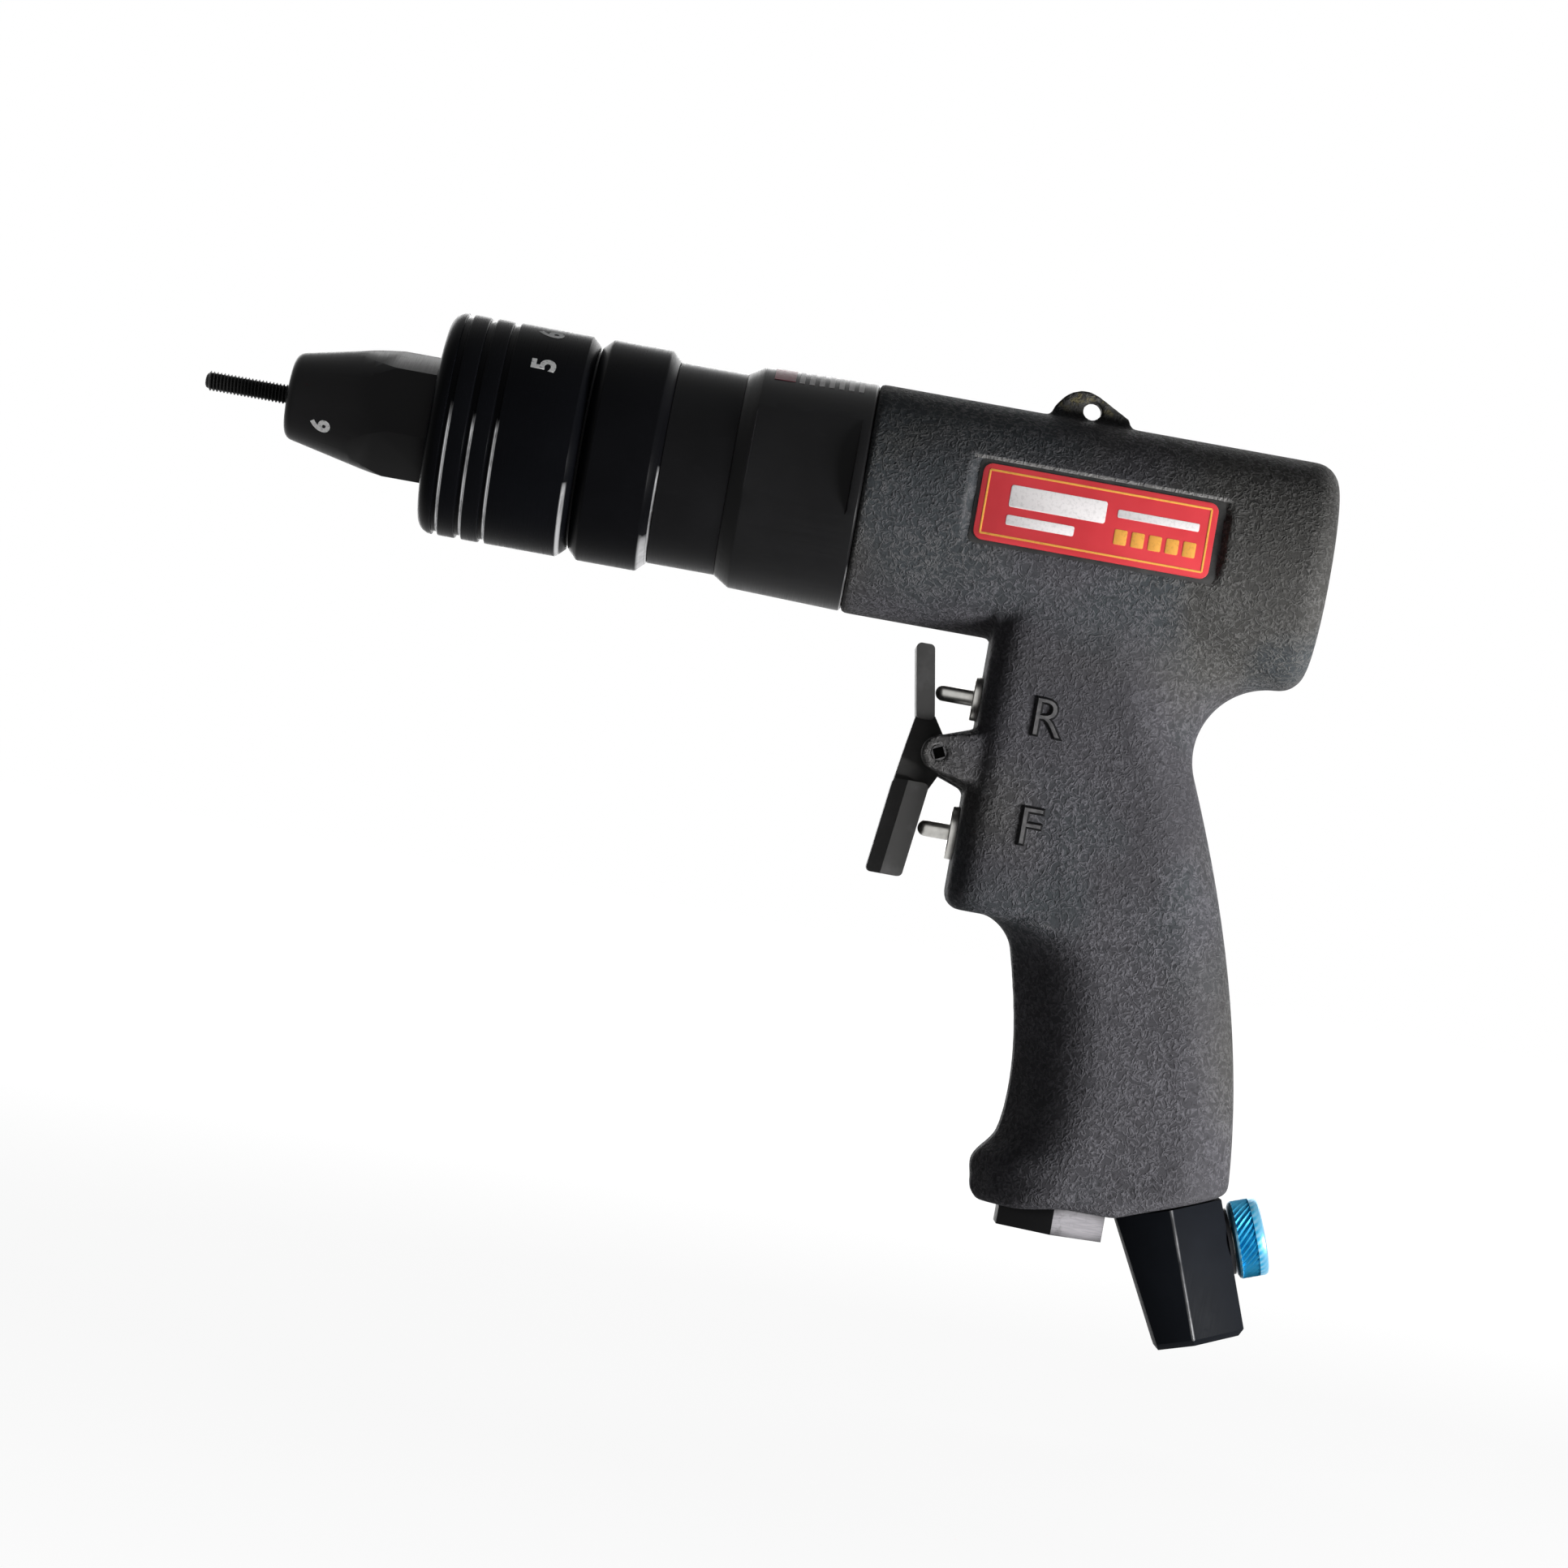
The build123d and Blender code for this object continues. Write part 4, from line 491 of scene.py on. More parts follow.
def worn_and_highlit_edges(*edges):
    """Bright bare metal along edges, partly worn and partly a painted highlight on the lower side that the
    low lamp catches. Each edge is a place along X, a width, and the height below which it is painted bright."""

    def mask(place):
        along = place.node("SeparateXYZ", inputs={"Vector": place}, output="X")
        patches = place.noise(130, 3.0, 0.6)
        worn = 0.0
        for edge, width, top in edges:
            near = abs(along - edge * MM).span(HIGHLIT_EDGE_CORE * width * MM, width * MM, 1.0, 0.0)
            # Painted highlight: the bright band is kept below a height, on the lower side where the low lamp
            # falls.
            height = along.out("Z") + (patches - 0.5) * (HIGHLIT_EDGE_WAVER * MM)
            low = height.span(top * MM, (top - HIGHLIT_EDGE_FADE) * MM)
            worn = along.maths("MAXIMUM", near * low, worn)
        return worn * patches.span(0.3, 0.5, 0.45, 1.0)

    return mask


def black_oxide(name, colour, rough, shine, wear_and_highlight=None):
    """Blackened metal with fine turning lines and faint rub marks, painted as bright bare metal where the
    mask says: partly worn edges, partly painted highlight.
    """
    finish, place = new_finish(name)
    turning = place.stretch(60, 1, 1).noise(160, 2.0)
    cloud = place.noise(45, 3.0)
    scuff = place.stretch(1, 3, 3).noise(260, 4.0, 0.6).span(0.6, 0.8)
    tone = tuple(1.9 * value for value in colour)
    base = (cloud.span(0.35, 0.7) * 0.7 + scuff * 0.3).blend(colour, tone)
    values = {}
    if wear_and_highlight:
        worn = wear_and_highlight(place)
        base = worn.blend(base, (0.55, 0.55, 0.56))
        values["Metallic"] = worn
    surface(
        place,
        Base_Color=base,
        Roughness=scuff * 0.12 + turning.span(0.3, 0.7, rough - 0.05, rough + 0.05),
        Specular_IOR_Level=shine,
        Normal=turning.bump(0.1, 0.04),
        **values,
    )
    return finish


def ease_edges(piece, width, segments=2, angle=30):
    """Breaks every sharp edge by a small bevel, as a file or the tumbling drum does."""
    apply(
        piece,
        "BEVEL",
        width=width * MM,
        segments=segments,
        limit_method="ANGLE",
        angle_limit=math.radians(angle),
        miter_outer="MITER_ARC",
    )
    smooth(piece)


case = copy_of("gear_case", "gear_case_blackened")
ease_edges(case, 0.3)
# The gear case's rear edge is painted bright below a height: partly worn, partly painted highlight.
case_wear_and_highlight = worn_and_highlit_edges((CASE_REAR - 0.2, 0.2, -14))
case_black = black_oxide("hot blackened steel", (0.0068, 0.0068, 0.0072), 0.34, 0.07, case_wear_and_highlight)
fit(case, case_black, "housing", "black_oxide", "gear_case")
sleeve_black = black_oxide("blackened clutch housing", (0.0055, 0.0055, 0.006), 0.34, 0.05)
dress(sleeve_black, "clutch_housing")

# Lock ring: a plain ring on the clutch housing's thread, anodised black, with wide chamfers. Its rear chamfer
# and edge are painted bright on their lower side, partly worn and partly painted highlight. It is turned up
# against the size ring to hold the setting.
LOCK_FRONT = 59.7
LOCK_REAR = 75.5
LOCK_CHAMFER = 2.0
RING_RADIUS = 22.2
SLEEVE_BORE = 19.66


def weld(piece, reach=WELD):
    """Merges points of a piece that lie within a reach of each other, and turns its faces outwards."""
    only(piece)
    bpy.ops.object.mode_set(mode="EDIT")
    bpy.ops.mesh.select_all(action="SELECT")
    bpy.ops.mesh.remove_doubles(threshold=reach)
    bpy.ops.mesh.normals_make_consistent(inside=False)
    bpy.ops.object.mode_set(mode="OBJECT")


def turned(name, stations, steps=160):
    """A turned piece: a section drawn point by point as (x, radius) and spun round the drive axis."""
    points = [Vector((x * MM, 0, r * MM)) for x, r in stations]
    bpy.ops.object.select_all(action="DESELECT")
    bpy.ops.mesh.primitive_plane_add(size=MM)
    piece = bpy.context.object
    piece.name = name
    bpy.ops.object.mode_set(mode="EDIT")
    bpy.ops.mesh.select_mode(type="VERT")
    bpy.ops.mesh.select_all(action="SELECT")
    bpy.ops.mesh.merge(type="CENTER")
    bpy.ops.transform.translate(value=points[0])
    for start, end in zip(points, points[1:]):
        bpy.ops.mesh.extrude_vertices_move(TRANSFORM_OT_translate={"value": end - start})
    bpy.ops.mesh.select_all(action="SELECT")
    bpy.ops.mesh.spin(steps=steps, angle=2 * math.pi, center=(0, 0, 0), axis=(1, 0, 0))
    bpy.ops.object.mode_set(mode="OBJECT")
    weld(piece)
    return piece


lock = turned(
    "lock_ring_turned",
    (
        (LOCK_FRONT, SLEEVE_BORE),
        (LOCK_FRONT, RING_RADIUS - LOCK_CHAMFER),
        (LOCK_FRONT + LOCK_CHAMFER, RING_RADIUS),
        (LOCK_REAR - LOCK_CHAMFER, RING_RADIUS),
        (LOCK_REAR, RING_RADIUS - LOCK_CHAMFER),
        (LOCK_REAR, SLEEVE_BORE),
        (LOCK_FRONT, SLEEVE_BORE),
    ),
)
ease_edges(lock, 0.25)
lock_wear_and_highlight = worn_and_highlit_edges((LOCK_REAR - 1.0, 1.0, -15), (LOCK_REAR - 0.1, 0.4, -1))
lock_black = black_oxide("black anodised lock ring", (0.003, 0.0031, 0.0038), 0.32, 0.025, lock_wear_and_highlight)
fit(lock, lock_black, "lock_ring", "black_anodised", "lock_ring")

# Size ring: turned from aluminium and anodised black, with three grip grooves at its front. The grooves'
# edges and the rear edge are painted as bare metal on their lower side, partly worn and partly painted
# highlight. Plain thread sizes are printed in white round its middle, and the ring turns to the size in use.
RING_FRONT = 29.4
RING_REAR = 59.3
RING_MOUTH = 13.4
RING_ROUND = 3
ROUND_STEPS = 6
RING_CHAMFER = 1.8
RING_SHOULDER = 31.1
GROOVES = (33.0, 37.7, 42.4)
GROOVE_HALF = 0.55
GROOVE_DEPTH = 0.7
GROOVE_BREAK = 0.22
SIZE_PLACE = 49.8
SIZE_HEIGHT = 4.8
SIZES = ("5", "6", "8", "10", "12")
SIZE_FIRST = 53
SIZE_STEP = 29
DIGIT_STEP = 9.5
INK_THICKNESS = 0.5
INK_WEIGHT = 0.2
INK_SINK = 0.2
section = [(RING_FRONT, RING_MOUTH)]
for step in range(ROUND_STEPS, -1, -1):
    turn = math.radians(90 * step / ROUND_STEPS)
    behind = RING_ROUND * (1 - math.sin(turn))
    inwards = RING_ROUND * (1 - math.cos(turn))
    section.append((RING_FRONT + behind, RING_RADIUS - inwards))
for groove in GROOVES:
    section += (
        (groove - GROOVE_HALF - GROOVE_BREAK, RING_RADIUS),
        (groove - GROOVE_HALF, RING_RADIUS - GROOVE_BREAK),
        (groove - GROOVE_HALF, RING_RADIUS - GROOVE_DEPTH),
        (groove + GROOVE_HALF, RING_RADIUS - GROOVE_DEPTH),
        (groove + GROOVE_HALF, RING_RADIUS - GROOVE_BREAK),
        (groove + GROOVE_HALF + GROOVE_BREAK, RING_RADIUS),
    )
section += (
    (RING_REAR - RING_CHAMFER, RING_RADIUS),
    (RING_REAR, RING_RADIUS - RING_CHAMFER),
    (RING_REAR, SLEEVE_BORE),
    (RING_SHOULDER, SLEEVE_BORE),
    (RING_SHOULDER, RING_MOUTH),
    (RING_FRONT, RING_MOUTH),
)
ring = turned("size_ring_turned", section)
ease_edges(ring, 0.12)
groove_edges = [(groove + GROOVE_HALF, 0.4, 2) for groove in GROOVES]
ring_wear_and_highlight = worn_and_highlit_edges(*groove_edges, (RING_REAR - 1.6, 0.5, -8))
ring_black = black_oxide("black anodised size ring", (0.0024, 0.0026, 0.0034), 0.3, 0.02, ring_wear_and_highlight)
fit(ring, ring_black, "size_ring", "black_anodised", "size_ring")


def white_ink():
    finish, place = new_finish("white printing ink")
    gap = place.noise(1500, 3.0, 0.6)
    surface(
        place,
        Base_Color=gap.span(0.3, 0.5).blend((0.4, 0.4, 0.41), (0.8, 0.8, 0.79)),
        Roughness=gap.span(0.3, 0.7, 0.45, 0.6),
    )
    return finish


def wrap_character(text, name, height, x, radius, angle, slope=0.0):
    """A printed character on a turned face, its foot towards the rear, at an angle round the drive axis."""
    piece = lettering(name, text, height, INK_THICKNESS, INK_WEIGHT)
    lay = Matrix(((0, -1, 0, 0), (1, 0, 0, 0), (0, 0, 1, 0), (0, 0, 0, 1)))
    lean = Matrix.Rotation(slope, 4, "Y")
    lift = Matrix.Translation((x * MM, 0, (radius - INK_SINK) * MM))
    place_by(piece, Matrix.Rotation(angle, 4, "X") @ lift @ lean @ lay)
    return piece


ink = white_ink()
prints = []
for count, size in enumerate(SIZES):
    start = math.radians(SIZE_FIRST - SIZE_STEP * count)
    for place_in, digit in enumerate(size):
        angle = start - math.radians(DIGIT_STEP * place_in)
        name = f"size_{size}_{place_in}"
        prints.append(wrap_character(digit, name, SIZE_HEIGHT, SIZE_PLACE, RING_RADIUS, angle))
sizes = join("size_ring_print", prints)
fit(sizes, ink, "size_ring", "black_anodised")

# Nosepiece: a steel cone with a hexagon base, screwed into the clutch housing and changed with the mandrel.
# It is blackened, and a plain figure is stamped on the cone and filled with white.
CONE_TIP = 8.4
CONE_BASE = 13.0
CONE_LENGTH = 21.0
CONE_SLOPE = math.atan2(CONE_BASE - CONE_TIP, CONE_LENGTH)
STAMP_HEIGHT = 3.9
STAMP_PLACE = 8.0
STAMP_ANGLE = math.radians(123)
nose = copy_of("nosepiece", "nosepiece_blackened")
ease_edges(nose, 0.3)
nose_black = black_oxide("blackened nosepiece", (0.0076, 0.0074, 0.0078), 0.36, 0.08)
fit(nose, nose_black, "housing", "black_oxide", "nosepiece")
stamp_radius = CONE_TIP + STAMP_PLACE * math.tan(CONE_SLOPE)
stamp = wrap_character(
    "6", "nosepiece_stamp", STAMP_HEIGHT, STAMP_PLACE, stamp_radius, STAMP_ANGLE, -CONE_SLOPE
)
fit(stamp, ink, "housing", "black_oxide")

# Mandrel: a hardened stud with a coarse thread in front of the nose and a hexagon head in the drive sleeve.
# The thread is rolled, and the stud is blackened and oiled.
STUD_TIP = -17.0
THREAD_PITCH = 0.7
THREAD_FLANK = 0.3
THREAD_CREST = 0.1
THREAD_RADIUS = 1.98
THREAD_ROOT = 1.56
THREAD_STEPS = 36
THREAD_START = -16.6
THREAD_END = 0.4
SHANK_RADIUS = 1.8
HEAD_FRONT = 49.58
HEAD_REAR = 57.58
HEAD_FLATS = 7.0
stud = turned(
    "mandrel_threaded",
    (
        (STUD_TIP, 0.0),
        (STUD_TIP, 1.0),
        (STUD_TIP + 0.25, 1.4),
        (STUD_TIP + 0.6, THREAD_ROOT),
        (0.2, THREAD_ROOT),
        (0.5, SHANK_RADIUS),
        (HEAD_FRONT + 1, SHANK_RADIUS),
        (HEAD_FRONT + 1, 0.0),
    ),
    48,
)
bpy.ops.object.select_all(action="DESELECT")
bpy.ops.mesh.primitive_cylinder_add(
    vertices=6,
    radius=HEAD_FLATS / math.sqrt(3) * MM,
    depth=(HEAD_REAR - HEAD_FRONT) * MM,
)
head = bpy.context.object
ease_edges(head, 0.2)
head_middle = Matrix.Translation(((HEAD_FRONT + HEAD_REAR) / 2 * MM, 0, 0))
place_by(head, head_middle @ Matrix.Rotation(math.pi / 2, 4, "Y"))
apply(stud, "BOOLEAN", operation="UNION", object=head, solver="EXACT")
bpy.data.objects.remove(head)
bpy.ops.object.select_all(action="DESELECT")
bpy.ops.mesh.primitive_plane_add(size=MM)
thread = bpy.context.object
bpy.ops.object.mode_set(mode="EDIT")
bpy.ops.mesh.select_all(action="SELECT")
bpy.ops.mesh.merge(type="CENTER")
bpy.ops.transform.translate(value=(THREAD_START * MM, 0, THREAD_ROOT * MM))
for run, rise in ((THREAD_FLANK, 1), (THREAD_CREST, 0), (THREAD_FLANK, -1)):
    step = Vector((run * MM, 0, rise * (THREAD_RADIUS - THREAD_ROOT) * MM))
    bpy.ops.mesh.extrude_vertices_move(TRANSFORM_OT_translate={"value": step})
bpy.ops.object.mode_set(mode="OBJECT")
apply(
    thread,
    "SCREW",
    axis="X",
    screw_offset=THREAD_PITCH * MM,
    iterations=int((THREAD_END - THREAD_START) / THREAD_PITCH),
    steps=THREAD_STEPS,
    render_steps=THREAD_STEPS,
    use_merge_vertices=True,
    merge_threshold=WELD,
)
weld(thread, 2 * WELD)
stud = join("mandrel_threaded", [stud, thread])
smooth(stud)
stud_black = black_oxide("oiled black stud", (0.012, 0.012, 0.012), 0.36, 0.14)
fit(stud, stud_black, "spindle", "mandrel_steel", "mandrel")

# Name plate: a thin aluminium plate with baked red enamel, glued into its recess in the casting. It carries
# a plain gold line round its edge and plain bars and squares, all printed.
PLATE_CENTRE = 160.95
PLATE_SEAT = 21.0
PLATE_SIZE = (46.5, 15.2, 0.6)
PLATE_CORNER = 1.8
PLATE_TURN = math.radians(6.0)
BED = 0.15
PRINT = 0.08
LINE = 0.4
BORDER_X = 21.9
BORDER_Y = 6.3
SQUARES = 5
SQUARE_FIRST = 5.2
SQUARE_STEP = 3.4


def plate_enamel():
    finish, place = new_finish("baked red enamel")
    cloud = place.noise(70, 3.0).span(0.35, 0.65)
    orange_peel = place.noise(1400, 2.0)
    surface(
        place,
        Base_Color=cloud.blend((0.5, 0.028, 0.036), (0.58, 0.04, 0.05)),
        Roughness=orange_peel.span(0.3, 0.7, 0.3, 0.42),
        Specular_IOR_Level=0.35,
        Normal=orange_peel.bump(0.08, 0.03),
    )
    return finish


plate_out = Vector((0, -math.cos(PLATE_TURN), math.sin(PLATE_TURN)))
plate_up = Vector((0, math.sin(PLATE_TURN), math.cos(PLATE_TURN)))
plate_axes = Matrix((Vector((1, 0, 0)), plate_up, plate_out)).transposed().to_4x4()
plate_seat = Vector((PLATE_CENTRE * MM, 0, 0)) + plate_out * PLATE_SEAT * MM
plate_place = Matrix.Translation(plate_seat) @ plate_axes


def slab(name, centre, size, corner, rise):
    """A thin slab on the plate's seat: a block with rounded corners and an eased top edge, at a height."""
    bpy.ops.object.select_all(action="DESELECT")
    bpy.ops.mesh.primitive_cube_add(size=1)
    piece = bpy.context.object
    piece.name = name
    bpy.ops.object.mode_set(mode="EDIT")
    bpy.ops.mesh.select_all(action="SELECT")
    bpy.ops.transform.resize(value=[side * MM for side in size])
    bpy.ops.transform.translate(value=(centre[0] * MM, centre[1] * MM, (rise + size[2] / 2) * MM))
    bpy.ops.mesh.select_mode(type="EDGE")
    bpy.ops.mesh.select_all(action="DESELECT")
    bpy.ops.object.mode_set(mode="OBJECT")
    for edge in piece.data.edges:
        low, high = (piece.data.vertices[end].co for end in edge.vertices)
        edge.select = abs(high.z - low.z) > 0.5 * size[2] * MM
    bpy.ops.object.mode_set(mode="EDIT")
    bpy.ops.mesh.bevel(offset=corner * MM, segments=6, affect="EDGES")
    bpy.ops.object.mode_set(mode="OBJECT")
    ease_edges(piece, 0.25 * size[2], 2, 50)
    return piece


def printing(name, colour):
    finish, place = new_finish(name)
    worn = place.noise(1600, 3.0, 0.6)
    faded = tuple(0.82 * value for value in colour)
    surface(
        place,
        Base_Color=worn.span(0.3, 0.5).blend(faded, colour),
        Roughness=worn.span(0.3, 0.7, 0.35, 0.5),
        Specular_IOR_Level=0.3,
    )
    return finish


def bar(centre, width, height, corner):
    """A printed bar on the plate's face."""
    return slab("bar", centre, (width, height, PRINT), corner, PLATE_SIZE[2])


# The black rubber sheet under the plate is wider than it and shows round its edge as a dark frame: painted
# shade in the gap to the recess.
painted_shade_sheet = slab("name_plate_painted_shade_sheet", (1.0, 0), (50.0, 16.8, BED), 1.2, 0)
place_by(painted_shade_sheet, plate_place)
fit(painted_shade_sheet, rubber, "housing", "plate_red")
plate = slab("name_plate_enamelled", (0, 0), (*PLATE_SIZE[:2], PLATE_SIZE[2] - BED), PLATE_CORNER, BED)
place_by(plate, plate_place)
fit(plate, plate_enamel(), "housing", "plate_red", "name_plate")
gold_bars = [
    bar((0, BORDER_Y), 2 * BORDER_X, LINE, 0.1),
    bar((0, -BORDER_Y), 2 * BORDER_X, LINE, 0.1),
    bar((-BORDER_X, 0), LINE, 2 * BORDER_Y, 0.1),
    bar((BORDER_X, 0), LINE, 2 * BORDER_Y, 0.1),
]
for count in range(SQUARES):
    gold_bars.append(bar((SQUARE_FIRST + SQUARE_STEP * count, -2.4), 2.5, 3.0, 0.3))
gold = join("name_plate_gold", gold_bars)
place_by(gold, plate_place)
fit(gold, printing("gold printing", (0.75, 0.36, 0.07)), "housing", "plate_red")
white_bars = [
    bar((-7.8, 1.9), 19.0, 4.4, 0.5),
    bar((-10.6, -2.9), 13.4, 2.0, 0.4),
    bar((12.0, 2.2), 16.1, 1.6, 0.3),
]
white = join("name_plate_white", white_bars)
place_by(white, plate_place)
fit(white, printing("white printing", (0.75, 0.72, 0.72)), "housing", "plate_red")

# Gear case marks: a row of plain grey ticks and one dull red block, printed on the gear case's top and
# bent round it. The ink is a film that stands a hair proud of the black steel.
TICKS = 7
TICK_FIRST = 99.8
TICK_STEP = 1.96
TICK_WIDTH = 1.05
BLOCK_PLACE = 96.4
BLOCK_WIDTH = 4.2
MARK_FROM = 9.0
MARK_TO = 30.0
MARK_CUTS = 7
INK_FILM = 0.1
CASE_RADIUS = 22.2
CASE_GROWTH = 0.6
CASE_SLOPE = CASE_GROWTH / (CASE_REAR - CASE_FRONT)


def case_mark(x, width):
    """A thin printed bar round the gear case, between two angles from its top."""
    bpy.ops.object.select_all(action="DESELECT")
    bpy.ops.mesh.primitive_cube_add(size=1)
    piece = bpy.context.object
    bpy.ops.object.mode_set(mode="EDIT")
    bpy.ops.mesh.subdivide(number_cuts=MARK_CUTS)
    bpy.ops.object.mode_set(mode="OBJECT")
    for point in piece.data.vertices:
        along = x + width * point.co.x
        angle = math.radians(MARK_FROM + (MARK_TO - MARK_FROM) * (point.co.y + 0.5))
        radius = CASE_RADIUS + CASE_SLOPE * (along - CASE_FRONT) + INK_FILM * point.co.z
        point.co = Vector((along, -radius * math.sin(angle), radius * math.cos(angle))) * MM
    only(piece)
    bpy.ops.object.mode_set(mode="EDIT")
    bpy.ops.mesh.select_all(action="SELECT")
    bpy.ops.mesh.normals_make_consistent(inside=False)
    bpy.ops.object.mode_set(mode="OBJECT")
    smooth(piece)
    return piece


tick_marks = [case_mark(TICK_FIRST + TICK_STEP * count, TICK_WIDTH) for count in range(TICKS)]
ticks = join("gear_case_ticks", tick_marks)
fit(ticks, printing("grey printing", (0.42, 0.41, 0.41)), "housing", "black_oxide")
block = case_mark(BLOCK_PLACE, BLOCK_WIDTH)
block.name = "gear_case_block"
fit(block, printing("dull red printing", (0.16, 0.03, 0.045)), "housing", "black_oxide")

# Trigger: a moulded rocker on a steel pin between the casting's ears. Its upper pad works the reverse valve
# and its lower pad the forward valve. The lower pad's front corners are cut off aslant.
PAD_SIDE = 7.5
PAD_FRONT_TOP = Vector((131.35, 0, -53.6))
PAD_FRONT_FOOT = Vector((129.05, 0, -72.6))
FRONT_CHAMFER = 2.9
WEDGE = 12
WEDGE_RISE = 1.5
PIVOT = (139.05, -47.4)
PIN_RADIUS = 1.5
PIN_SHY = 0.1
PIN_REACH = EAR_FACE + EAR_BUILD - PIN_SHY
SOCKET = 2.1
SOCKET_DEPTH = 2.0
SOCKET_TURN = math.radians(25)


def moulded_black():
    finish, place = new_finish("moulded black nylon")
    sparks = place.noise(2400, 2.0)
    rub = place.noise(130, 4.0, 0.6).span(0.5, 0.75)
    surface(
        place,
        Base_Color=rub.blend((0.066, 0.065, 0.064), (0.1, 0.099, 0.099)),
        Roughness=sparks.span(0.3, 0.7, 0.42, 0.56),
        Specular_IOR_Level=0.08,
        Normal=sparks.bump(0.2, 0.05),
    )
    return finish


rocker = copy_of("trigger", "trigger_rocker")
down = (PAD_FRONT_FOOT - PAD_FRONT_TOP).normalized()
forward = Vector((down.z, 0, -down.x))
for side in (-1, 1):
    outward = (forward + Vector((0, side, 0))).normalized()
    wedge_axes = Matrix((outward, down, outward.cross(down))).transposed().to_4x4()
    corner = PAD_FRONT_TOP + Vector((0, side * PAD_SIDE, 0)) - outward * FRONT_CHAMFER / math.sqrt(2)
    wedge_place = corner + down * (WEDGE - WEDGE_RISE) + outward * WEDGE / 2
    bpy.ops.object.select_all(action="DESELECT")
    bpy.ops.mesh.primitive_cube_add(size=WEDGE * MM)
    wedge = bpy.context.object
    place_by(wedge, Matrix.Translation(wedge_place * MM) @ wedge_axes @ Matrix.Diagonal((1, 2, 1, 1)))
    apply(rocker, "BOOLEAN", operation="DIFFERENCE", object=wedge, solver="EXACT")
    bpy.data.objects.remove(wedge)
ease_edges(rocker, 0.35, 3, 30)
fit(rocker, moulded_black(), "trigger", "trigger_black", "trigger")
bpy.ops.object.select_all(action="DESELECT")
bpy.ops.mesh.primitive_cylinder_add(vertices=48, radius=PIN_RADIUS * MM, depth=2 * PIN_REACH * MM)
pin = bpy.context.object
pin.name = "trigger_pin_socketed"
bpy.ops.mesh.primitive_cube_add(size=1)
key_bar = bpy.context.object
bpy.ops.object.mode_set(mode="EDIT")
bpy.ops.mesh.select_all(action="SELECT")
bpy.ops.transform.resize(value=(SOCKET * MM, SOCKET * MM, 2 * SOCKET_DEPTH * MM))
bpy.ops.transform.translate(value=(0, 0, PIN_REACH * MM))
bpy.ops.object.mode_set(mode="OBJECT")
for _ in range(2):
    apply(pin, "BOOLEAN", operation="DIFFERENCE", object=key_bar, solver="EXACT")
    place_by(key_bar, Matrix.Rotation(math.pi, 4, "X"))
bpy.data.objects.remove(key_bar)
smooth(pin)
turned_square = Matrix.Rotation(SOCKET_TURN, 4, "Z")
across_y = Matrix.Rotation(math.pi / 2, 4, "X")
place_by(pin, Matrix.Translation((PIVOT[0] * MM, 0, PIVOT[1] * MM)) @ across_y @ turned_square)


def pin_end():
    """The pin's ends are painted with the casting, and its square socket is painted near black as painted
    shade in the recess.
    """
    finish, place = new_finish("painted pin end")
    out = abs(place.node("SeparateXYZ", inputs={"Vector": place}, output="Y"))
    grain = place.noise(1300, 2.0)
    painted = grain.span(0.35, 0.65).blend((0.05, 0.049, 0.05), (0.1, 0.098, 0.1))
    at_end = out.span((PIN_REACH - 0.2) * MM, (PIN_REACH - 0.1) * MM)
    surface(
        place,
        Base_Color=at_end.blend((0.003, 0.003, 0.003), painted),
        Roughness=grain.span(0.3, 0.7, 0.5, 0.65),
        Specular_IOR_Level=0.06,
        Normal=grain.bump(0.25, 0.08),
    )
    return finish


fit(pin, pin_end(), "housing", "bright_steel", "trigger_pin")

# Valves: a steel stem in a flanged bush behind each pad, with its spring and rubber seal inside the handle.
BUSH_FACE = 144.0
FLANGE_RADII = {"reverse": 4.4, "forward": 5.3}
FLANGE_THICKNESS = 1.55
FLANGE_BREAK = 0.25
BUSH_BODY = 4.15
BUSH_BORE = 1.66
BORE_LEAD = 0.3
bright = ground_steel("bright plated steel", (0.62, 0.61, 0.58), 0.36, (40, 1, 1))
for valve, flange in FLANGE_RADII.items():
    low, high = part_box(f"{valve}_bush")
    rear = high.x / MM
    bush = turned(
        f"{valve}_bush_plated",
        (
            (BUSH_FACE, BUSH_BORE + BORE_LEAD),
            (BUSH_FACE, flange - FLANGE_BREAK),
            (BUSH_FACE + FLANGE_BREAK, flange),
            (BUSH_FACE + FLANGE_THICKNESS, flange),
            (BUSH_FACE + FLANGE_THICKNESS, BUSH_BODY),
            (rear, BUSH_BODY),
            (rear, BUSH_BORE),
            (BUSH_FACE + BORE_LEAD, BUSH_BORE),
            (BUSH_FACE, BUSH_BORE + BORE_LEAD),
        ),
        64,
    )
    ease_edges(bush, 0.08)
    place_by(bush, Matrix.Translation((0, 0, (low.z + high.z) / 2)))
    fit(bush, bright, "housing", "bright_steel", f"{valve}_bush")
    dress(bright, f"{valve}_stem")
    dress(rubber, f"{valve}_seal")
    spring = copy_of(f"{valve}_spring", f"{valve}_spring_coil")
    smooth(spring)
    spring.data.materials.clear()
    spring.data.materials.append(spring_metal)
    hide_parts(f"{valve}_spring")
    low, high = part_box(f"{valve}_spring")
    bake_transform(spring)

# Exhaust cap: a hexagon plug in the base of the grip, drilled through, with a porous bronze disc behind the
# holes. It is blackened, and one pair of its flats is painted bright steel: a painted highlight on the flat
# that faces the lamp.
HIGHLIGHT_FLAT_TURN = math.radians(60)


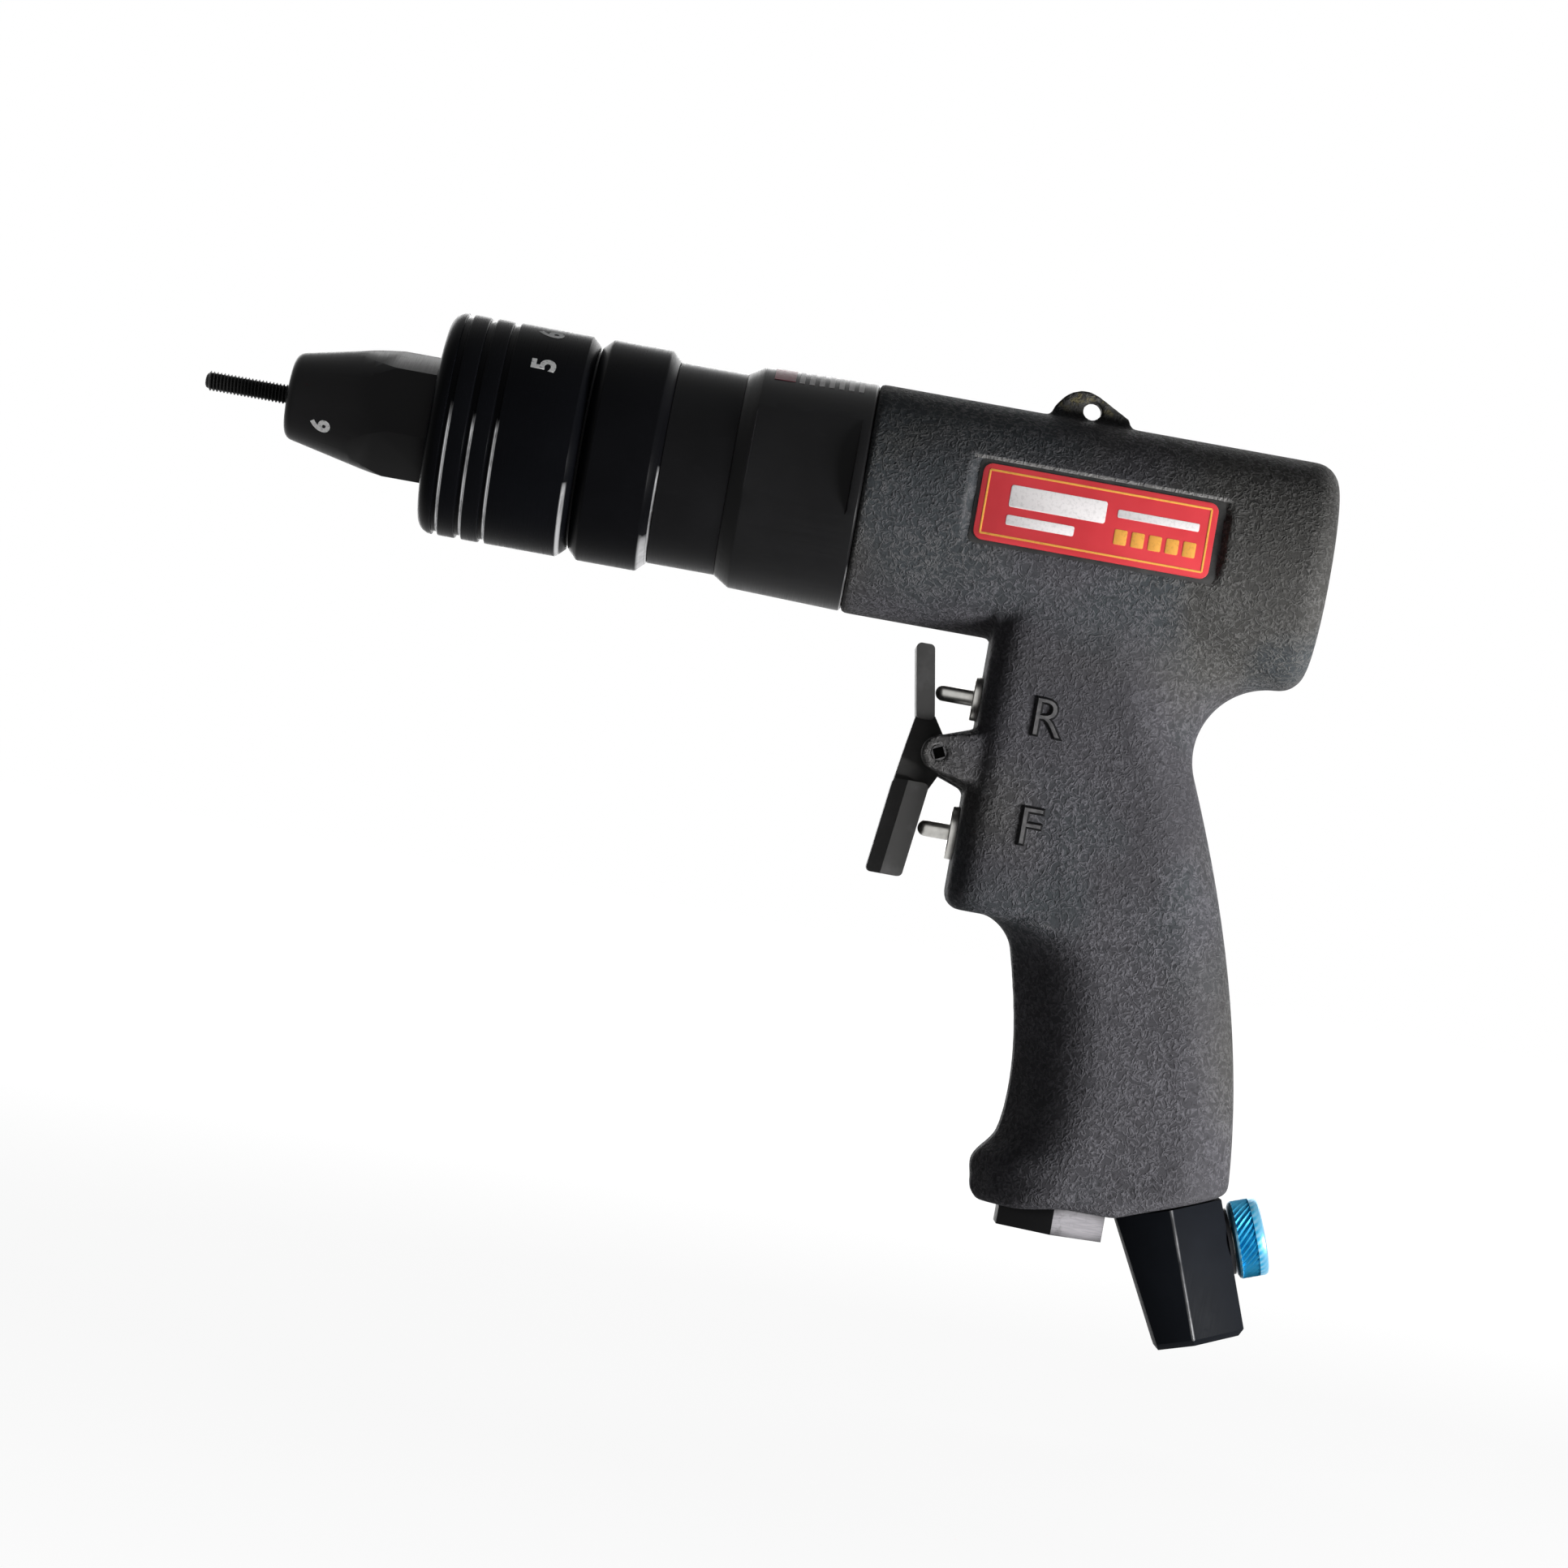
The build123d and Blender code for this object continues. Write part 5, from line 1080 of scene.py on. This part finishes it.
def sintered_bronze():
    finish, place = new_finish("sintered bronze")
    grains = place.node("TexVoronoi", inputs={"Vector": place, "Scale": 2600.0})
    surface(
        place,
        Base_Color=grains.span(0.0, 0.7).blend((0.42, 0.24, 0.1), (0.12, 0.06, 0.03)),
        Metallic=0.9,
        Roughness=0.5,
        Normal=grains.bump(0.6, 0.1),
    )
    return finish


def cap_with_painted_highlight():
    """Blackened, with one pair of flats painted bright steel as a painted highlight on the flat that faces
    the lamp.
    """
    finish, place = new_finish("blackened exhaust cap")
    facing = place.node("NewGeometry", output="Normal")
    highlight_flat_way = {0: facing, 1: (math.cos(HIGHLIGHT_FLAT_TURN), -math.sin(HIGHLIGHT_FLAT_TURN), 0)}
    towards = place.node("VectorMath", {"operation": "DOT_PRODUCT"}, highlight_flat_way, "Value")
    # Painted highlight: the flat that faces the lamp, and its opposite, are painted bright steel.
    on_highlight_flat = abs(towards).span(0.97, 0.995)
    rub = place.noise(240, 4.0, 0.6)
    strokes = place.stretch(1, 1, 14).noise(300, 3.0)
    bare = on_highlight_flat * rub.span(0.3, 0.42, 0.5, 1.0)
    steel = strokes.span(0.3, 0.7).blend((0.138, 0.133, 0.142), (0.188, 0.181, 0.191))
    surface(
        place,
        Base_Color=bare.blend((0.0085, 0.0085, 0.009), steel),
        Metallic=bare * 0.2,
        Roughness=bare.span(0.0, 1.0, 0.45, 0.6),
        Specular_IOR_Level=0.08,
        Normal=strokes.bump(0.15, 0.05),
    )
    return finish


cap = copy_of("exhaust_cap", "exhaust_cap_blackened")
ease_edges(cap, 0.35)
fit(cap, cap_with_painted_highlight(), "housing", "cap_black", "exhaust_cap")
dress(sintered_bronze(), "silencer", "inlet_screen")

# Air inlet and flow regulator: a hexagon bar, anodised black, screwed on a nipple in the rear of the grip.
# A throttle spindle crosses it, sealed by a ring and turned by the knob.
CORNER_REACH = 11.9
CORNER_FADE = 0.15


def corner_wear_and_highlight(place):
    """The two corners that stand out at the sides are painted with a thin bright line, partly worn and partly
    a painted highlight along the corners.
    """
    out = abs(place.node("SeparateXYZ", inputs={"Vector": place}, output="Y"))
    corner = out.span(CORNER_REACH * MM, (CORNER_REACH + CORNER_FADE) * MM)
    return corner * place.noise(150, 3.0).span(0.3, 0.6, 0.02, 0.25)


regulator = copy_of("regulator_body", "regulator_hexagon")
ease_edges(regulator, 0.4)
regulator_black = black_oxide("black anodised regulator", (0.0048, 0.0056, 0.0074), 0.5, 0.025, corner_wear_and_highlight)
fit(regulator, regulator_black, "housing", "regulator_black", "regulator_body")
dress(bright, "inlet_nipple", "regulator_spindle", "knob_screw")
dress(black_oxide("blackened washer", (0.01, 0.01, 0.011), 0.4, 0.1), "regulator_washer")
dress(rubber, "inlet_gasket", "regulator_seal")

# Regulator knob: turned from aluminium, knurled aslant on the half next to the body and smooth on the rest,
# then anodised blue. A sunk screw holds it on the throttle spindle.
KNOB_TEETH = 34
KNOB_RADIUS = 7.75
KNOB_THICKNESS = 6.0
KNOB_ROUND = 0.9
KNOB_BREAK = 0.25
KNURL_DEPTH = 0.55
KNURL_START = 0.8
KNURL_LENGTH = 3.3
KNURL_STEPS = 6
KNURL_LEAD = -2.4
KNOB_BORE = 3.05
KNOB_BORE_DEPTH = 3.2
SCREW_BORE = 1.55
SINK_RADIUS = 2.75
SINK_FLOOR = 4.45
KNOB_FOOT = Vector((212.73, 0, -132.24)) * MM
KNOB_TILT = math.radians(20)
KNOB_WAY = Vector((math.cos(KNOB_TILT), 0, math.sin(KNOB_TILT)))
KNOB_STAND = 1.2


def next_ring(piece, height, radius=None, depth=0.0, turn=0.0):
    """Draws the open rim on to a new ring. It keeps each point's own radius, unless it is given one and the
    depth of the teeth in it."""
    bpy.ops.object.mode_set(mode="EDIT")
    bpy.ops.mesh.extrude_region_move()
    bpy.ops.object.mode_set(mode="OBJECT")
    for point in piece.data.vertices:
        if point.select:
            angle = math.atan2(point.co.y, point.co.x)
            reach = math.hypot(point.co.x, point.co.y) / MM
            if radius:
                reach = radius - depth * (round(angle * KNOB_TEETH / math.pi) % 2)
            angle += turn
            point.co = Vector((reach * math.cos(angle), reach * math.sin(angle), height)) * MM


bpy.ops.object.select_all(action="DESELECT")
bpy.ops.mesh.primitive_circle_add(vertices=2 * KNOB_TEETH, radius=KNOB_BORE * MM)
knob = bpy.context.object
knob.name = "regulator_knob_knurled"
bpy.ops.object.mode_set(mode="EDIT")
bpy.ops.mesh.select_all(action="SELECT")
bpy.ops.object.mode_set(mode="OBJECT")
next_ring(knob, 0, KNOB_RADIUS - KNOB_ROUND)
next_ring(knob, 0.3, KNOB_RADIUS - KNOB_BREAK)
next_ring(knob, KNURL_START - 0.1, KNOB_RADIUS)
next_ring(knob, KNURL_START, KNOB_RADIUS, KNURL_DEPTH)
step_turn = 2 * math.pi * KNURL_LEAD / KNOB_TEETH / KNURL_STEPS
for step in range(1, KNURL_STEPS + 1):
    next_ring(knob, KNURL_START + KNURL_LENGTH * step / KNURL_STEPS, turn=step_turn)
knurl_end = KNURL_START + KNURL_LENGTH
for height, radius in (
    (knurl_end + 0.1, KNOB_RADIUS),
    (KNOB_THICKNESS - 0.8, KNOB_RADIUS),
    (KNOB_THICKNESS - KNOB_BREAK, KNOB_RADIUS - KNOB_BREAK),
    (KNOB_THICKNESS, KNOB_RADIUS - KNOB_ROUND),
    (KNOB_THICKNESS, SINK_RADIUS + 0.2),
    (KNOB_THICKNESS - 0.2, SINK_RADIUS),
    (SINK_FLOOR, SINK_RADIUS),
    (SINK_FLOOR, SCREW_BORE),
    (KNOB_BORE_DEPTH, SCREW_BORE),
    (KNOB_BORE_DEPTH, KNOB_BORE),
    (0, KNOB_BORE),
):
    next_ring(knob, height, radius)
weld(knob)
smooth(knob, 30)
sideways = Vector((0, 1, 0))
knob_axes = Matrix((sideways, KNOB_WAY.cross(sideways), KNOB_WAY)).transposed().to_4x4()
place_by(knob, Matrix.Translation(KNOB_FOOT + KNOB_WAY * KNOB_STAND * MM) @ knob_axes)


def blue_anodised():
    finish, place = new_finish("blue anodised aluminium")
    cloud = place.noise(260, 3.0)
    film = place.noise(90, 2.0)
    blue = cloud.span(0.35, 0.65).blend((0.012, 0.25, 0.46), (0.035, 0.37, 0.6))
    # Painted highlight: the knurl's crests and sharp edges are painted pale.
    crest = place.node("NewGeometry", output="Pointiness").span(0.52, 0.6)
    surface(
        place,
        Base_Color=(crest * 0.7).blend(blue, (0.42, 0.62, 0.7)),
        Metallic=0.55,
        Roughness=film.span(0.3, 0.7, 0.26, 0.4),
        Specular_IOR_Level=0.4,
        Normal=cloud.bump(0.1, 0.05),
    )
    return finish


fit(knob, blue_anodised(), "regulator_knob", "knob_blue", "regulator_knob")

# Studio: a plain pale floor below the tool, a white surround, and a soft lamp close by, low on the right of
# the camera. A weak cool lamp stands above, and two lamps behind shape the far side. The camera looks at the
# tool's middle and is turned to its tilt.
FLOOR = -0.174
FLOOR_GLOW = 1.08
AMBIENT = 0.031
MIDDLE = Vector((0.1119, 0, -0.0583))
TILT = math.radians(10.35)
DISTANCE = 1.05
DROP = 0.0183
VIEW_ANGLE = math.radians(16.86)
SENSOR = 36


def white_when_seen(start):
    """One where a ray comes from the camera, a reflection or a clear piece, and nought for diffuse light."""
    path = start.node("LightPath", output="Is Camera Ray")
    seen = path.maths("MAXIMUM", path, path.out("Is Glossy Ray"))
    return path.maths("MAXIMUM", seen, path.out("Is Transmission Ray"))


world = bpy.data.worlds.new("studio")
bpy.context.scene.world = world
world.use_nodes = True
world.node_tree.nodes.clear()
start = Shade(world.node_tree)
level = white_when_seen(start) * (1 - AMBIENT) + AMBIENT
backdrop = start.node("Background", inputs={"Color": (1, 1, 1, 1), "Strength": level})
start.node("OutputWorld", inputs={"Surface": backdrop})
bpy.ops.object.select_all(action="DESELECT")
bpy.ops.mesh.primitive_plane_add(size=20, location=(0, 0, FLOOR))
floor = bpy.context.object
floor.name = "floor"
pale, place = new_finish("pale floor")
matt = place.node("BsdfDiffuse", inputs={"Color": (0.6, 0.6, 0.6, 1)})
glow = place.node("Emission", inputs={"Color": (1, 1, 1, 1), "Strength": FLOOR_GLOW})
from_tool = {0: place, 1: (0.17, 0, 0)}
distance = place.node("VectorMath", {"operation": "DISTANCE"}, from_tool, "Value")
share = white_when_seen(place) * distance.span(0.2, 1.2, 0.84, 1.0)
mixed = place.node("MixShader", inputs={0: share, 1: matt, 2: glow})
place.node("OutputMaterial", inputs={"Surface": mixed})
floor.data.materials.append(pale)


def soft_lamp(name, place, width, power, height=None, colour=(1, 1, 1)):
    """An area lamp at a place, turned to the tool's middle. Sizes are in metres and the power in watts."""
    bpy.ops.object.light_add(type="AREA", location=place)
    lamp = bpy.context.object
    lamp.name = name
    lamp.data.shape = "ELLIPSE"
    lamp.data.size = width
    lamp.data.size_y = height or width
    lamp.data.energy = power
    lamp.data.color = colour
    lamp.rotation_euler = (MIDDLE - Vector(place)).to_track_quat("-Z", "Y").to_euler()


soft_lamp("key", (0.53, -0.26, -0.14), 0.2, 4.0, 0.06)
soft_lamp("top", (-0.1, -0.3, 1.2), 0.8, 0.33, colour=(0.75, 0.86, 1.0))
soft_lamp("back", (0.4, 1.1, 0.4), 0.9, 6)
soft_lamp("far", (-0.25, 1.1, 0.15), 0.9, 5)

across = Vector((math.cos(TILT), 0, math.sin(TILT)))
back = Vector((0, -DISTANCE, -DROP)).normalized()
up = back.cross(across).normalized()
camera_data = bpy.data.cameras.new("camera")
camera_data.sensor_width = SENSOR
camera_data.lens = SENSOR / 2 / math.tan(VIEW_ANGLE / 2)
camera = bpy.data.objects.new("camera", camera_data)
bpy.context.scene.collection.objects.link(camera)
camera_axes = Matrix((across, up, back)).transposed().to_4x4()
camera.matrix_world = Matrix.Translation(MIDDLE + back * DISTANCE) @ camera_axes
bpy.context.scene.camera = camera
bpy.context.scene.view_settings.view_transform = "Standard"

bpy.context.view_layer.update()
